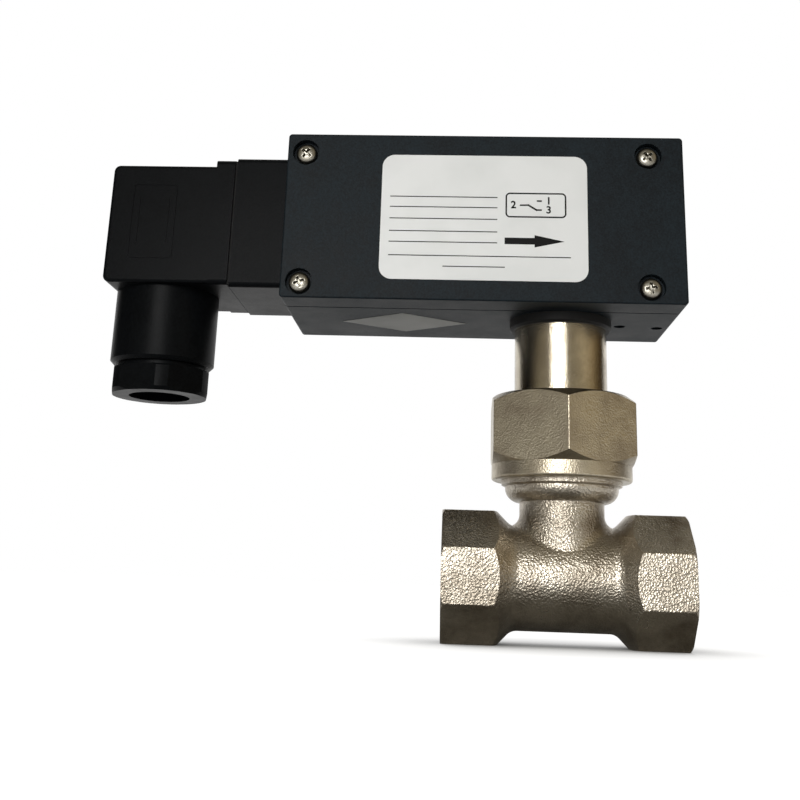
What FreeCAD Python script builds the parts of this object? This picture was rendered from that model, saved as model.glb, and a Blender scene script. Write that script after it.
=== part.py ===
import FreeCAD, Part
import math
import os

from FreeCAD import Vector

# Paddle flow switch on a DN 15 tee. All sizes in millimetres.
# Frame: the origin is the centre of the tee's inlet face, +X points along the flow and +Z up the stem.
# housing_left, housing_right, back_cheek_left and back_cheek_right are measured from the stem's axis.

# ---------------------------------------------------------------- driving dimensions: tee and union
run_length = 52.2
tee_flats = 27.6
octagon_length = 12.1
octagon_taper = 2.9
octagon_edge_break = 0.7
octagon_corner_spare = 0.1
octagon_corner_round = 0.5
taper_blend = 3.0
body_radius = 10.9
flow_radius = 7.5
pipe_thread_radius = 9.316
pipe_thread_depth = 12.0
neck_radius = 9.25
neck_root_fillet = 2.6
branch_thread_radius = 13.22
branch_thread_bottom = 19.8
branch_flare_bottom = 16.1
branch_top = 29.5
branch_edge_break = 0.8
flare_lip_drop = 0.4
flare_belly_in = 1.6
flare_belly_up = 1.0

union_gasket_thick = 1.7
union_gasket_bore = 8.2
stem_flange_radius = 12.7
stem_flange_thick = 3.5
nut_flats = 30.8
nut_collar_radius = 15.45
nut_collar_height = 3.4
nut_height = 18.5
nut_top_wall = 4.45
nut_corner_drop = 2.0
nut_face_break = 0.3
nut_corner_round = 0.35
nut_collar_round = 0.6

# ---------------------------------------------------------------- driving dimensions: stem
tube_radius = 10.4
tube_bore = 7.5
tube_height = 23.5
spigot_radius = 8.0
spigot_bore = 6.4
spigot_rise = 0.5
spigot_chamfer = 0.4
bore_step_drop = 4.0
bore_step_taper = 2.0
stem_seal_radius = 11.55
stem_seal_thick = 2.3
stem_seal_edge = 0.5
lock_nut_flats = 20.0
lock_nut_thick = 4.0
lock_nut_chamfer = 0.8
bellows_flange_radius = 7.0
bellows_flange_thick = 1.0
bellows_outer = 5.3
bellows_inner = 3.5
bellows_wall = 0.3
bellows_folds = 6
bellows_fold_rise = 0.3
bellows_length = 14.0
bellows_cap_radius = 4.0
bellows_cap_thick = 1.6

# ---------------------------------------------------------------- driving dimensions: housing
housing_left = 62.5
housing_right = 25.5
housing_depth = 37.5
housing_height = 38.3
housing_wall = 2.6
housing_edge = 0.8
seam_rim = 0.75
cover_wall = 2.5
cover_gasket_thick = 0.5
cover_gasket_width = 1.6
cover_gasket_inset = 0.4
cover_screw_left = 4.15
cover_screw_right = 7.7
cover_screw_low = 3.6
cover_screw_high = 4.5
screw_well_radius = 3.0
screw_well_depth = 1.9
screw_head_radius = 2.35
screw_head_rise = 1.7
screw_shank_radius = 1.25
screw_length = 15.0
screw_head_side = 0.5
screw_dome_out = 0.72
screw_dome_up = 0.88
screw_recess_half = 1.3
screw_recess_arm = 0.5
screw_recess_depth = 0.9
boss_radius = 3.4
boss_web_half = 1.0
lid_pad_radius = 4.3
underside_hole_radius = 1.3
underside_hole_depth = 1.2
underside_hole_places = ((13.9, 2.6), (22.6, 3.5))

# ---------------------------------------------------------------- driving dimensions: mechanism
rod_radius = 1.5
paddle_radius = 6.0
paddle_thick = 0.6
paddle_shank_width = 4.0
paddle_shank_top = 9.5
rod_flat_length = 10.0
rod_socket = 0.8
rivet_radius = 0.7
rivet_head_radius = 1.2
rivet_head_thick = 0.6
rivet_low = 1.2
rivet_pitch = 6.0
sheet = 1.2
cheek_inside = 11.6
front_cheek_half = 6.0
back_cheek_lap = 5.0
stop_tab_half = 3.0
stop_tab_end = 1.0
frame_half_length = 11.0
back_cheek_left = 16.5
pivot_rise = 4.7
pin_radius = 1.25
pin_head_radius = 2.2
pin_head_thick = 0.8
pin_tail = 1.6
pin_groove = 0.35
pin_clip_thick = 0.6
spacer_radius = 2.1
hub_radius = 3.2
hub_half_length = 4.5
lever_arm_thick = 2.0
lever_tip_margin = 0.6
trip_drop = 7.0
trip_reach = 2.2
finger_lap = 1.6
spring_reach = 10.0
switch_thick = 6.4
switch_length = 19.8
switch_edge = 0.6
switch_seam_half = 0.1
switch_seam_depth = 0.2
switch_above_trip = 7.8
switch_screw_radius = 1.0
switch_screw_head_radius = 1.9
switch_screw_head_thick = 1.3
switch_screw_inset = 3.0
switch_screw_spread = 4.75
terminal_length = 4.6
terminal_half_width = 1.6
terminal_half_thick = 0.25
terminal_eye_radius = 0.6
terminal_inset = 2.4
earth_tab_y = -6.5
earth_tab_half = 3.0
earth_tab_rise = 9.0
earth_tab_margin = 1.0
slot_half_width = 0.25
slot_depth = 0.6
switch_height = 10.2
switch_standoff = 3.4
plunger_radius = 0.9
plunger_gap = 0.2
plunger_guide = 5.0
plunger_buried = 3.0
plunger_nose = 0.5
spring_radius = 2.3
spring_wire = 0.4
spring_turns = 6
spring_stub_gap = 0.4
spring_stub_rise = 2.0
spring_tab_half = 4.0
seat_thick = 2.6
seat_drop = 4.4
seat_half_width = 3.4
adjuster_radius = 1.5
adjuster_head_radius = 2.6
adjuster_head_thick = 1.6
adjuster_length = 11.5
adjuster_slot_half = 0.35
adjuster_slot_depth = 0.8
adjuster_clip_radius = 2.3
adjuster_clip_thick = 0.6
frame_headroom = 3.4
frame_pin_margin = 4.0

# ---------------------------------------------------------------- driving dimensions: connector
base_half_width = 14.0
base_height = 30.7
base_length = 11.9
base_drop = 0.25
base_edge = 1.2
base_spigot_radius = 9.3
base_spigot_length = 4.6
base_gasket_thick = 0.4
base_gasket_inset = 0.5
base_screw_head_radius = 2.0
base_screw_head_thick = 1.6
base_screw_sink = 0.8
base_screw_side = 8.6
base_screw_rise = 10.9
base_screw_radius = 1.1
blade_offset = 8.0
blade_half_width = 2.2
blade_thick = 0.8
blade_plug_length = 9.5
blade_tail_length = 3.0
plug_gasket_thick = 0.5
plug_gasket_inset = 0.7
plug_gasket_width = 3.0
plug_flange_length = 4.3
plug_flange_shy = 0.5
plug_length = 28.5
plug_top_step = 1.9
plug_bottom_step = 0.75
plug_side_step = 0.5
plug_edge = 1.5
plug_side_edge = 0.8
plug_wall = 2.4
gland_back = 11.9
gland_neck_radius = 11.8
gland_neck_bottom = 44.4
gland_bore_radius = 9.4
gland_seal_gap = 0.65
gland_passage_radius = 6.8
gland_flats = 21.2
gland_corner_radius = 11.5
gland_turn = 46.0
gland_hex_height = 5.9
gland_collar_radius = 9.9
gland_collar_height = 1.0
gland_spigot_height = 5.4
gland_mouth_radius = 6.9
gland_edge = 0.8
gland_washer_thick = 0.6
gland_washer_bore = 5.0
gland_seal_height = 6.4
gland_seal_chamfer = 1.0
cable_radius = 4.0
insert_gap = 0.7
insert_depth = 15.5
insert_carrier_half = 3.5
insert_edge = 1.5
socket_length = 9.0
socket_half_width = 3.2
socket_half_thick = 1.5
socket_gap = 0.1
socket_inset = 1.0
socket_back = 0.8
socket_screw_radius = 1.1
socket_screw_rise = 0.8
plug_screw_radius = 1.5
plug_screw_head_radius = 2.9
plug_screw_head_thick = 2.0
plug_screw_bite = 6.0
plug_screw_spare = 1.0
plug_screw_edge = 0.5
plug_recess_half = 1.5
plug_recess_arm = 0.6
plug_recess_depth = 1.2
plug_screw_seal_thick = 0.8
plug_screw_sink = 0.4
plug_screw_boss_wall = 1.4
wire_radius = 0.75
wire_lead_out = 8.0
wire_bend_reach = 14.0
wire_open_bow = 6.0
wire_closed_bow = 9.5
wire_common_bow = 4.0

# ---------------------------------------------------------------- clearances
running = 0.03
turning = 0.05
sliding = 0.1
screw_clearance = 0.2
overlap = 0.5
arc_share = 1 - math.sqrt(0.5)

# ---------------------------------------------------------------- places worked out from the sizes
X_AXIS = Vector(1, 0, 0)
Y_AXIS = Vector(0, 1, 0)
Z_AXIS = Vector(0, 0, 1)

stem_x = run_length / 2
flange_bottom = branch_top + union_gasket_thick
flange_top = flange_bottom + stem_flange_thick
tube_top = flange_bottom + tube_height
nut_shoulder = flange_top + turning
nut_top = nut_shoulder + nut_top_wall
nut_bottom = nut_top - nut_height
nut_hex_bottom = nut_bottom + nut_collar_height

housing_bottom = tube_top + stem_seal_thick
floor_top = housing_bottom + housing_wall
housing_top = housing_bottom + housing_height
housing_x0 = stem_x - housing_left
housing_x1 = stem_x + housing_right
cover_front = -housing_depth / 2
shell_front = -(base_spigot_radius + screw_clearance + seam_rim)
cover_back = shell_front - cover_gasket_thick
cover_depth = cover_back - cover_front
shell_back = housing_depth / 2
screw_seat = cover_front + screw_well_depth
cover_screw_places = [
    (x, z)
    for x in (housing_x0 + cover_screw_left, housing_x1 - cover_screw_right)
    for z in (housing_bottom + cover_screw_low, housing_top - cover_screw_high)
]

frame_floor = floor_top + sheet
lock_nut_top = frame_floor + lock_nut_thick
spigot_top = lock_nut_top + spigot_rise
bellows_top = spigot_top - bellows_flange_thick
bellows_bottom = bellows_top - bellows_length
pivot_z = spigot_top + pivot_rise
frame_top = housing_top - housing_wall - frame_headroom
trip_z = frame_top - trip_drop
pin_end = cheek_inside + sheet

connector_z = (housing_bottom + housing_top) / 2 - base_drop
base_x1 = housing_x0 - base_gasket_thick
base_x0 = base_x1 - base_length
plug_x1 = base_x0
plug_x0 = plug_x1 - plug_gasket_thick - plug_length
plug_inside_x0 = plug_x0 + plug_wall
base_low = connector_z - base_height / 2
base_high = connector_z + base_height / 2
plug_bottom = base_low + plug_bottom_step
plug_top = base_high - plug_top_step
plug_half_width = base_half_width - plug_side_step
plug_face_x = plug_x1 - plug_gasket_thick
screw_head_x = plug_x0 + plug_screw_sink
screw_under_head = screw_head_x + plug_screw_head_thick
plug_screw_seat = screw_under_head + plug_screw_seal_thick
plug_boss_x1 = plug_screw_seat + plug_screw_boss_wall
gland_x = plug_x0 + gland_back
gland_hex_top = gland_neck_bottom - gland_collar_height
gland_mouth = gland_hex_top - gland_hex_height
gland_spigot_top = gland_neck_bottom + gland_spigot_height
washer_top = gland_spigot_top + turning + gland_washer_thick
seal_top = washer_top + gland_seal_height
gland_bore_top = seal_top + gland_seal_gap


# ---------------------------------------------------------------- shape helpers
def block(x, y, z):
    """A box between three pairs of coordinates."""
    return Part.makeBox(x[1] - x[0], y[1] - y[0], z[1] - z[0], Vector(x[0], y[0], z[0]))


def rod(radius, start, length, axis=Z_AXIS):
    """A cylinder from its start point along an axis."""
    return Part.makeCylinder(radius, length, Vector(*start), axis)


def tube(outer, inner, start, length, axis=Z_AXIS):
    """A cylinder with a bore."""
    return rod(outer, start, length, axis).cut(rod(inner, start, length, axis))


def outline(steps, place):
    """A closed face through steps. A step of two points is an arc through the first to the second."""
    edges = []
    last = steps[0]
    for step in steps[1:] + [steps[0]]:
        if isinstance(step[0], tuple):
            middle, end = step
            edges.append(Part.Arc(place(last), place(middle), place(end)).toShape())
            last = end
        else:
            edges.append(Part.LineSegment(place(last), place(step)).toShape())
            last = step
    return Part.Face(Part.Wire(edges))


def turned(steps, x=stem_x):
    """A solid turned about a vertical axis at x, from steps of (radius, height)."""
    face = outline(steps, lambda step: Vector(x + step[0], 0, step[1]))
    return face.revolve(Vector(x, 0, 0), Z_AXIS, 360)


def turned_along_run(steps):
    """A solid turned about the pipe's axis, from steps of (distance along the run, radius)."""
    face = outline(steps, lambda step: Vector(step[0], 0, step[1]))
    return face.revolve(Vector(0, 0, 0), X_AXIS, 360)


def prism(sides, across_flats, start, length, axis, corner_angle):
    """A regular prism. corner_angle places its first corner, in degrees about the axis."""
    radius = across_flats / 2 / math.cos(math.pi / sides)
    across = Y_AXIS if axis == X_AXIS else X_AXIS
    points = []
    for corner in range(sides + 1):
        turn = FreeCAD.Rotation(axis, corner_angle + 360.0 * corner / sides)
        points.append(Vector(*start) + turn.multVec(across * radius))
    return Part.Face(Part.makePolygon(points)).extrude(axis * length)


def edges_along(shape, axis, test=lambda centre: True):
    """The straight edges parallel to an axis whose centre passes a test."""
    return [
        edge
        for edge in shape.Edges
        if isinstance(edge.Curve, Part.Line)
        and abs(abs(edge.Curve.Direction.dot(axis)) - 1) < 1e-6
        and test(edge.CenterOfMass)
    ]


def edges_round(shape, centre, radius):
    """The circular edges of a radius whose centre is at a point."""
    return [
        edge
        for edge in shape.Edges
        if isinstance(edge.Curve, Part.Circle)
        and abs(edge.Curve.Radius - radius) < 1e-6
        and (edge.Curve.Center - Vector(*centre)).Length < 1e-6
    ]


def joined(shapes):
    """Shapes fused into one, with their seams removed."""
    whole = shapes[0]
    for shape in shapes[1:]:
        whole = whole.fuse(shape)
    return whole.removeSplitter()


def bored(shape, holes):
    """A shape with holes cut from it."""
    for hole in holes:
        shape = shape.cut(hole)
    return shape


def cross_recess(centre, axis, half_length, width, depth):
    """A cross-shaped driver recess to cut into a screw head whose top is at centre."""
    across = [a for a in (X_AXIS, Y_AXIS, Z_AXIS) if abs(a.dot(axis)) < 0.5]
    arms = []
    for long, short in (across, across[::-1]):
        size = long * (2 * half_length) + short * width + Vector(*map(abs, axis)) * (2 * depth)
        corner = Vector(*centre) - size * 0.5
        arms.append(Part.makeBox(size.x, size.y, size.z, corner))
    return arms[0].fuse(arms[1])


def wire_path(points):
    """Straight runs joined by tangent arcs, as large as the runs allow."""
    points = [Vector(*point) for point in points]
    edges = []
    start = points[0]
    for before, corner, after in zip(points, points[1:], points[2:]):
        towards = (corner - before).normalize()
        away = (after - corner).normalize()
        turn = towards.getAngle(away)
        reach = 0.45 * min((corner - before).Length, (after - corner).Length)
        arc_start = corner - towards * reach
        arc_end = corner + away * reach
        radius = reach / math.tan(turn / 2)
        bisector = (away - towards).normalize()
        middle = corner + bisector * (radius / math.cos(turn / 2) - radius)
        edges.append(Part.LineSegment(start, arc_start).toShape())
        edges.append(Part.Arc(arc_start, middle, arc_end).toShape())
        start = arc_end
    edges.append(Part.LineSegment(start, points[-1]).toShape())
    return Part.Wire(edges)


def wire_along(points):
    """A round wire swept along a path."""
    path = wire_path(points)
    first = path.Edges[0]
    normal = (first.Vertexes[1].Point - first.Vertexes[0].Point).normalize()
    section = Part.Wire(Part.makeCircle(wire_radius, Vector(*points[0]), normal))
    return path.makePipeShell([section], True, False)


# ---------------------------------------------------------------- tee and union
def from_outlet(step):
    """The same step of a profile, or pair of steps, measured from the tee's outlet."""
    if isinstance(step[0], tuple):
        return tuple(from_outlet(point) for point in step)
    return (run_length - step[0], step[1])


def make_tee():
    """The forged tee: octagonal ends, round body, flared neck and the threaded branch."""
    octagon_radius = tee_flats / 2
    corner_radius = octagon_radius / math.cos(math.pi / 8) + octagon_corner_spare
    slope = (octagon_radius - body_radius) / octagon_taper
    inner_reach = (corner_radius - octagon_radius) / slope
    taper_end = octagon_length + octagon_taper
    lean = math.atan(slope)
    reach = taper_blend * math.tan(lean / 2)
    blend_start = (taper_end - reach * math.cos(lean), body_radius + reach * math.sin(lean))
    blend_middle = (
        taper_end + reach - taper_blend * math.sin(lean / 2),
        body_radius + taper_blend * (1 - math.cos(lean / 2))
    )
    blend_end = (taper_end + reach, body_radius)
    ends = []
    for mirrored in (False, True):
        steps = [
            (0, 0),
            (0, corner_radius - octagon_edge_break),
            (octagon_edge_break, corner_radius),
            (octagon_length - inner_reach, corner_radius),
            blend_start,
            (blend_middle, blend_end),
            (blend_end[0], 0),
        ]
        start = 0
        if mirrored:
            steps = [from_outlet(step) for step in steps]
            start = run_length - blend_end[0]
        blank = prism(8, tee_flats, (start, 0, 0), blend_end[0], X_AXIS, 22.5)
        blank = blank.makeFillet(octagon_corner_round, edges_along(blank, X_AXIS))
        ends.append(blank.common(turned_along_run(steps)))
    run = rod(body_radius, (octagon_length, 0, 0), run_length - 2 * octagon_length, X_AXIS)
    neck = rod(neck_radius, (stem_x, 0, 0), branch_flare_bottom + overlap)
    body = run.fuse(neck)
    crossing = [
        edge
        for edge in body.Edges
        if not isinstance(edge.Curve, (Part.Line, Part.Circle)) and edge.BoundBox.ZMin > 0
    ]
    body = body.makeFillet(neck_root_fillet, crossing)
    flare_middle = (branch_thread_radius - flare_belly_in, branch_flare_bottom + flare_belly_up)
    flare_lip = (branch_thread_radius - branch_edge_break, branch_thread_bottom - flare_lip_drop)
    branch = turned([
        (0, branch_flare_bottom - overlap),
        (neck_radius, branch_flare_bottom - overlap),
        (neck_radius, branch_flare_bottom),
        (flare_middle, flare_lip),
        (branch_thread_radius, branch_thread_bottom),
        (branch_thread_radius, branch_top - branch_edge_break),
        (branch_thread_radius - branch_edge_break, branch_top),
        (0, branch_top),
    ])
    body = joined([body, branch] + ends)
    bores = [
        rod(flow_radius, (0, 0, 0), run_length, X_AXIS),
        rod(pipe_thread_radius, (0, 0, 0), pipe_thread_depth, X_AXIS),
        rod(pipe_thread_radius, (run_length - pipe_thread_depth, 0, 0), pipe_thread_depth, X_AXIS),
        rod(flow_radius, (stem_x, 0, 0), branch_top),
    ]
    return bored(body, bores)


def make_union_nut():
    """Hexagon nut with chamfered corners, a round collar below and a shoulder inside its top."""
    corner_radius = nut_flats / 2 / math.cos(math.pi / 6)
    start = nut_hex_bottom - overlap
    hexagon = prism(6, nut_flats, (stem_x, 0, start), nut_top - start, Z_AXIS, 30)
    hexagon = hexagon.makeFillet(nut_corner_round, edges_along(hexagon, Z_AXIS))
    chamfers = turned([
        (0, start),
        (nut_flats / 2, start),
        (nut_flats / 2, nut_hex_bottom),
        (corner_radius, nut_hex_bottom + nut_corner_drop),
        (corner_radius, nut_top - nut_corner_drop),
        (nut_flats / 2 - nut_face_break, nut_top),
        (0, nut_top),
    ])
    round_middle = (
        nut_collar_radius - arc_share * nut_collar_round, nut_bottom + arc_share * nut_collar_round
    )
    collar = turned([
        (0, nut_bottom),
        (nut_collar_radius - nut_collar_round, nut_bottom),
        (round_middle, (nut_collar_radius, nut_bottom + nut_collar_round)),
        (nut_collar_radius, nut_hex_bottom),
        (0, nut_hex_bottom),
    ])
    nut = joined([hexagon.common(chamfers), collar])
    return bored(nut, [
        rod(branch_thread_radius + turning, (stem_x, 0, nut_bottom), nut_shoulder - nut_bottom),
        rod(tube_radius + turning, (stem_x, 0, nut_bottom), nut_height),
    ])


def make_union_gasket():
    """Flat ring between the branch and the stem's flange."""
    return tube(stem_flange_radius, union_gasket_bore, (stem_x, 0, branch_top), union_gasket_thick)


# ---------------------------------------------------------------- stem
def make_stem_tube():
    """Turned stem: flange below, polished tube, and a threaded spigot that enters the housing."""
    return turned([
        (tube_bore, flange_bottom),
        (stem_flange_radius, flange_bottom),
        (stem_flange_radius, flange_top),
        (tube_radius, flange_top),
        (tube_radius, tube_top),
        (spigot_radius, tube_top),
        (spigot_radius, spigot_top - spigot_chamfer),
        (spigot_radius - spigot_chamfer, spigot_top),
        (bellows_flange_radius, spigot_top),
        (bellows_flange_radius, bellows_top),
        (spigot_bore, bellows_top),
        (spigot_bore, tube_top - bore_step_drop),
        (tube_bore, tube_top - bore_step_drop - bore_step_taper),
    ])


def make_stem_seal():
    """Black sealing ring clamped between the tube's shoulder and the housing's underside."""
    return turned([
        (spigot_radius, tube_top),
        (stem_seal_radius - stem_seal_edge, tube_top),
        (stem_seal_radius, tube_top + stem_seal_edge),
        (stem_seal_radius, housing_bottom),
        (spigot_radius, housing_bottom),
    ])


def make_lock_nut():
    """Thin hexagon nut on the stem's spigot."""
    nut = prism(6, lock_nut_flats, (stem_x, 0, frame_floor), lock_nut_thick, Z_AXIS, 0)
    corner_radius = lock_nut_flats / 2 / math.cos(math.pi / 6)
    chamfer = turned([
        (0, frame_floor),
        (corner_radius, frame_floor),
        (corner_radius, lock_nut_top - lock_nut_chamfer),
        (lock_nut_flats / 2, lock_nut_top),
        (0, lock_nut_top),
    ])
    return nut.common(chamfer).cut(rod(spigot_radius, (stem_x, 0, frame_floor), lock_nut_thick))


def make_bellows():
    """Thin corrugated tube, closed to the flange above and to the cap below."""
    pitch = bellows_length / bellows_folds
    outer = []
    inner = []
    for fold in range(bellows_folds):
        foot = bellows_bottom + fold * pitch
        low = foot + bellows_fold_rise * pitch
        high = foot + (1 - bellows_fold_rise) * pitch
        outer += [(bellows_inner, foot), (bellows_outer, low), (bellows_outer, high)]
        inner += [
            (bellows_inner - bellows_wall, foot),
            (bellows_outer - bellows_wall, low),
            (bellows_outer - bellows_wall, high),
        ]
    outer.append((bellows_inner, bellows_top))
    inner.append((bellows_inner - bellows_wall, bellows_top))
    return turned(outer + inner[::-1])


def make_bellows_flange():
    """Disc soldered into the spigot's mouth, with a hole for the rod to swing in."""
    return tube(
        bellows_flange_radius, bellows_inner - bellows_wall, (stem_x, 0, bellows_top), bellows_flange_thick
    )


def make_bellows_cap():
    """Disc soldered to the rod that closes the bellows' lower end."""
    return tube(
        bellows_cap_radius, rod_radius, (stem_x, 0, bellows_bottom - bellows_cap_thick), bellows_cap_thick
    )


# ---------------------------------------------------------------- paddle arm
rod_top = pivot_z - hub_radius + rod_socket
paddle_x = stem_x


def make_lever_rod():
    """Straight rod from the lever's hub down to the paddle, with a flat milled on its lower end."""
    rod_bottom = -rod_radius
    whole = rod(rod_radius, (stem_x, 0, rod_bottom), rod_top - rod_bottom)
    flat = block(
        (paddle_x, stem_x + rod_radius), (-rod_radius, rod_radius), (rod_bottom, rod_flat_length)
    )
    return bored(whole, [flat] + [
        rod(rivet_radius, (stem_x - rod_radius, 0, z), 2 * rod_radius, X_AXIS) for z in rivet_heights()
    ])


def rivet_heights():
    """The heights of the paddle's two rivets."""
    return (rivet_low, rivet_low + rivet_pitch)


def make_paddle():
    """Round plate across the flow, with a narrow shank that lies on the rod's flat."""
    disc = rod(paddle_radius, (paddle_x, 0, 0), paddle_thick, X_AXIS)
    shank = block(
        (paddle_x, paddle_x + paddle_thick), (-paddle_shank_width / 2, paddle_shank_width / 2),
        (0, paddle_shank_top)
    )
    return bored(joined([disc, shank]), [
        rod(rivet_radius, (stem_x - rod_radius, 0, z), 2 * rod_radius, X_AXIS) for z in rivet_heights()
    ])


def make_paddle_rivets():
    """Two rivets through the rod's flat and the paddle."""
    rivets = []
    for z in rivet_heights():
        shank = rod(rivet_radius, (stem_x - rod_radius, 0, z), rod_radius + paddle_thick, X_AXIS)
        head = rod(rivet_head_radius, (paddle_x + paddle_thick, 0, z), rivet_head_thick, X_AXIS)
        rivets.append(shank.fuse(head))
    return Part.makeCompound(rivets)


def make_switch_lever():
    """Brass lever: a hub on the pin, an arm up to the switch and an arm out to the spring."""
    arm_top = trip_z + trip_reach
    switch_side = cheek_inside - switch_thick / 2 + finger_lap
    hub = rod(hub_radius, (stem_x, -hub_half_length, pivot_z), 2 * hub_half_length, Y_AXIS)
    across = (stem_x - lever_arm_thick / 2, stem_x + lever_arm_thick / 2)
    upright = block(across, (-hub_half_length, hub_half_length), (pivot_z, arm_top))
    finger = block(across, (-hub_half_length, switch_side), (trip_z - trip_reach, arm_top))
    reach = block(
        (stem_x, spring_x + spring_radius), (-spring_radius, spring_radius),
        (pivot_z - lever_arm_thick / 2, pivot_z + lever_arm_thick / 2)
    )
    tip = rod(
        spring_radius + lever_tip_margin, (spring_x, 0, pivot_z - lever_arm_thick / 2), lever_arm_thick
    )
    stub_radius = spring_radius - spring_wire - spring_stub_gap
    stub = rod(stub_radius, (spring_x, 0, pivot_z), lever_arm_thick / 2 + spring_stub_rise)
    lever = joined([hub, upright, finger, reach, tip, stub])
    return bored(lever, [
        rod(pin_radius + running, (stem_x, -hub_half_length, pivot_z), 2 * hub_half_length, Y_AXIS),
        rod(rod_radius, (stem_x, 0, pivot_z - 2 * hub_radius), rod_top - pivot_z + 2 * hub_radius),
    ])


# ---------------------------------------------------------------- mechanism in the housing
spring_low = pivot_z + lever_arm_thick / 2
spring_high = frame_top - seat_drop - seat_thick
spring_length = spring_high - spring_low
spring_x = stem_x + spring_reach
back_cheek_right = spring_reach + spring_tab_half
switch_x1 = stem_x - switch_standoff
switch_x0 = switch_x1 - switch_height
switch_z1 = trip_z + switch_above_trip
switch_z0 = switch_z1 - switch_length
switch_y0 = cheek_inside - switch_thick
switch_middle_y = cheek_inside - switch_thick / 2
terminal_heights = [switch_z0 + terminal_inset, (switch_z0 + switch_z1) / 2, switch_z1 - terminal_inset]
terminal_tip = switch_x0 - terminal_length
earth_tab_top = floor_top + earth_tab_rise


def make_mechanism_frame():
    """Folded steel frame: a floor under the lock nut, cheeks for the pin, a stop tab and a top tab."""
    along = (stem_x - frame_half_length, stem_x + frame_half_length)
    floor = block(along, (-pin_end, pin_end), (floor_top, frame_floor))
    front_cheek = block(
        (stem_x - front_cheek_half, stem_x + front_cheek_half), (-pin_end, -cheek_inside),
        (floor_top, pivot_z + frame_pin_margin)
    )
    back_low = block(along, (cheek_inside, pin_end), (floor_top, pivot_z))
    back_high = block(
        (stem_x - back_cheek_left, stem_x + back_cheek_right), (cheek_inside, pin_end),
        (pivot_z - back_cheek_lap, frame_top)
    )
    top_tab = block(
        (spring_x - spring_tab_half, spring_x + spring_tab_half), (-hub_half_length, pin_end),
        (frame_top - sheet, frame_top)
    )
    stop_top = pivot_z - lever_arm_thick / 2 - sliding
    stop_tab = block(
        (spring_x - stop_tab_half, spring_x + stop_tab_half), (stop_tab_end, pin_end),
        (stop_top - sheet, stop_top)
    )
    earth_tab = block(
        (stem_x - frame_half_length, stem_x - frame_half_length + sheet),
        (earth_tab_y - earth_tab_half, earth_tab_y + earth_tab_half), (floor_top, earth_tab_top)
    )
    frame = joined([floor, front_cheek, back_low, back_high, top_tab, stop_tab, earth_tab])
    holes = [
        rod(spigot_radius, (stem_x, 0, floor_top), sheet),
        rod(pin_radius, (stem_x, -pin_end, pivot_z), 2 * pin_end, Y_AXIS),
        rod(adjuster_radius + running, (spring_x, 0, frame_top - sheet), sheet),
    ]
    holes += [
        rod(switch_screw_radius, (x, cheek_inside, z), sheet, Y_AXIS) for x, z in switch_screw_places()
    ]
    return bored(frame, holes)


def switch_screw_places():
    """Where the two screws pass through the microswitch, as (x, z)."""
    middle = (switch_z0 + switch_z1) / 2
    column = switch_x0 + switch_screw_inset
    return [(column, middle - switch_screw_spread), (column, middle + switch_screw_spread)]


def make_pivot_pin():
    """Pin across the frame's cheeks with a head at the front and a clip groove behind."""
    shank = rod(pin_radius, (stem_x, -pin_end, pivot_z), 2 * pin_end + pin_tail, Y_AXIS)
    head = rod(pin_head_radius, (stem_x, -pin_end - pin_head_thick, pivot_z), pin_head_thick, Y_AXIS)
    groove = tube(
        pin_radius, pin_radius - pin_groove, (stem_x, pin_end, pivot_z), pin_clip_thick, Y_AXIS
    )
    return shank.fuse(head).cut(groove)


def make_pin_clip():
    """Open retaining clip in the pin's groove."""
    clip = tube(
        pin_head_radius, pin_radius - pin_groove, (stem_x, pin_end, pivot_z), pin_clip_thick, Y_AXIS
    )
    mouth = block(
        (stem_x - pin_radius / 2, stem_x + pin_radius / 2), (pin_end, pin_end + pin_clip_thick),
        (pivot_z - pin_head_radius, pivot_z - pin_radius / 2)
    )
    return clip.cut(mouth)


def make_pivot_spacers():
    """Two sleeves on the pin that centre the lever between the cheeks."""
    length = cheek_inside - hub_half_length - sliding
    return Part.makeCompound([
        tube(spacer_radius, pin_radius, (stem_x, y, pivot_z), length, Y_AXIS)
        for y in (-cheek_inside, cheek_inside - length)
    ])


def make_microswitch_case():
    """Moulded switch case with rounded corners, two fixing holes and the plunger's guide."""
    case = block((switch_x0, switch_x1), (switch_y0, cheek_inside), (switch_z0, switch_z1))
    case = case.makeFillet(switch_edge, edges_along(case, Y_AXIS))
    parting = switch_middle_y
    depth = switch_seam_depth
    seam = block(
        (switch_x0 - depth, switch_x1 + depth), (parting - switch_seam_half, parting + switch_seam_half),
        (switch_z0 - depth, switch_z1 + depth)
    ).cut(block(
        (switch_x0 + depth, switch_x1 - depth), (parting - depth, parting + depth),
        (switch_z0 + depth, switch_z1 - depth)
    ))
    holes = [
        rod(switch_screw_radius, (x, switch_y0, z), switch_thick, Y_AXIS)
        for x, z in switch_screw_places()
    ]
    guide_place = (switch_x1 - plunger_guide, switch_middle_y, trip_z)
    guide = rod(plunger_radius + running, guide_place, plunger_guide, X_AXIS)
    return bored(case, holes + [seam, guide])


def make_microswitch_terminals():
    """Three solder tags out of the case's back."""
    tags = []
    across = (switch_middle_y - terminal_half_width, switch_middle_y + terminal_half_width)
    for z in terminal_heights:
        tag = block((terminal_tip, switch_x0), across, (z - terminal_half_thick, z + terminal_half_thick))
        eye_place = (terminal_tip + terminal_half_width, switch_middle_y, z - terminal_half_thick)
        eye = rod(terminal_eye_radius, eye_place, 2 * terminal_half_thick)
        tags.append(tag.cut(eye))
    return Part.makeCompound(tags)


def make_microswitch_plunger():
    """Push button of the microswitch, round-nosed."""
    tip = stem_x - lever_arm_thick / 2 - plunger_gap
    start = switch_x1 - plunger_buried
    body = rod(plunger_radius, (start, switch_middle_y, trip_z), tip - start, X_AXIS)
    return body.makeFillet(plunger_nose, edges_round(body, (tip, switch_middle_y, trip_z), plunger_radius))


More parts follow.
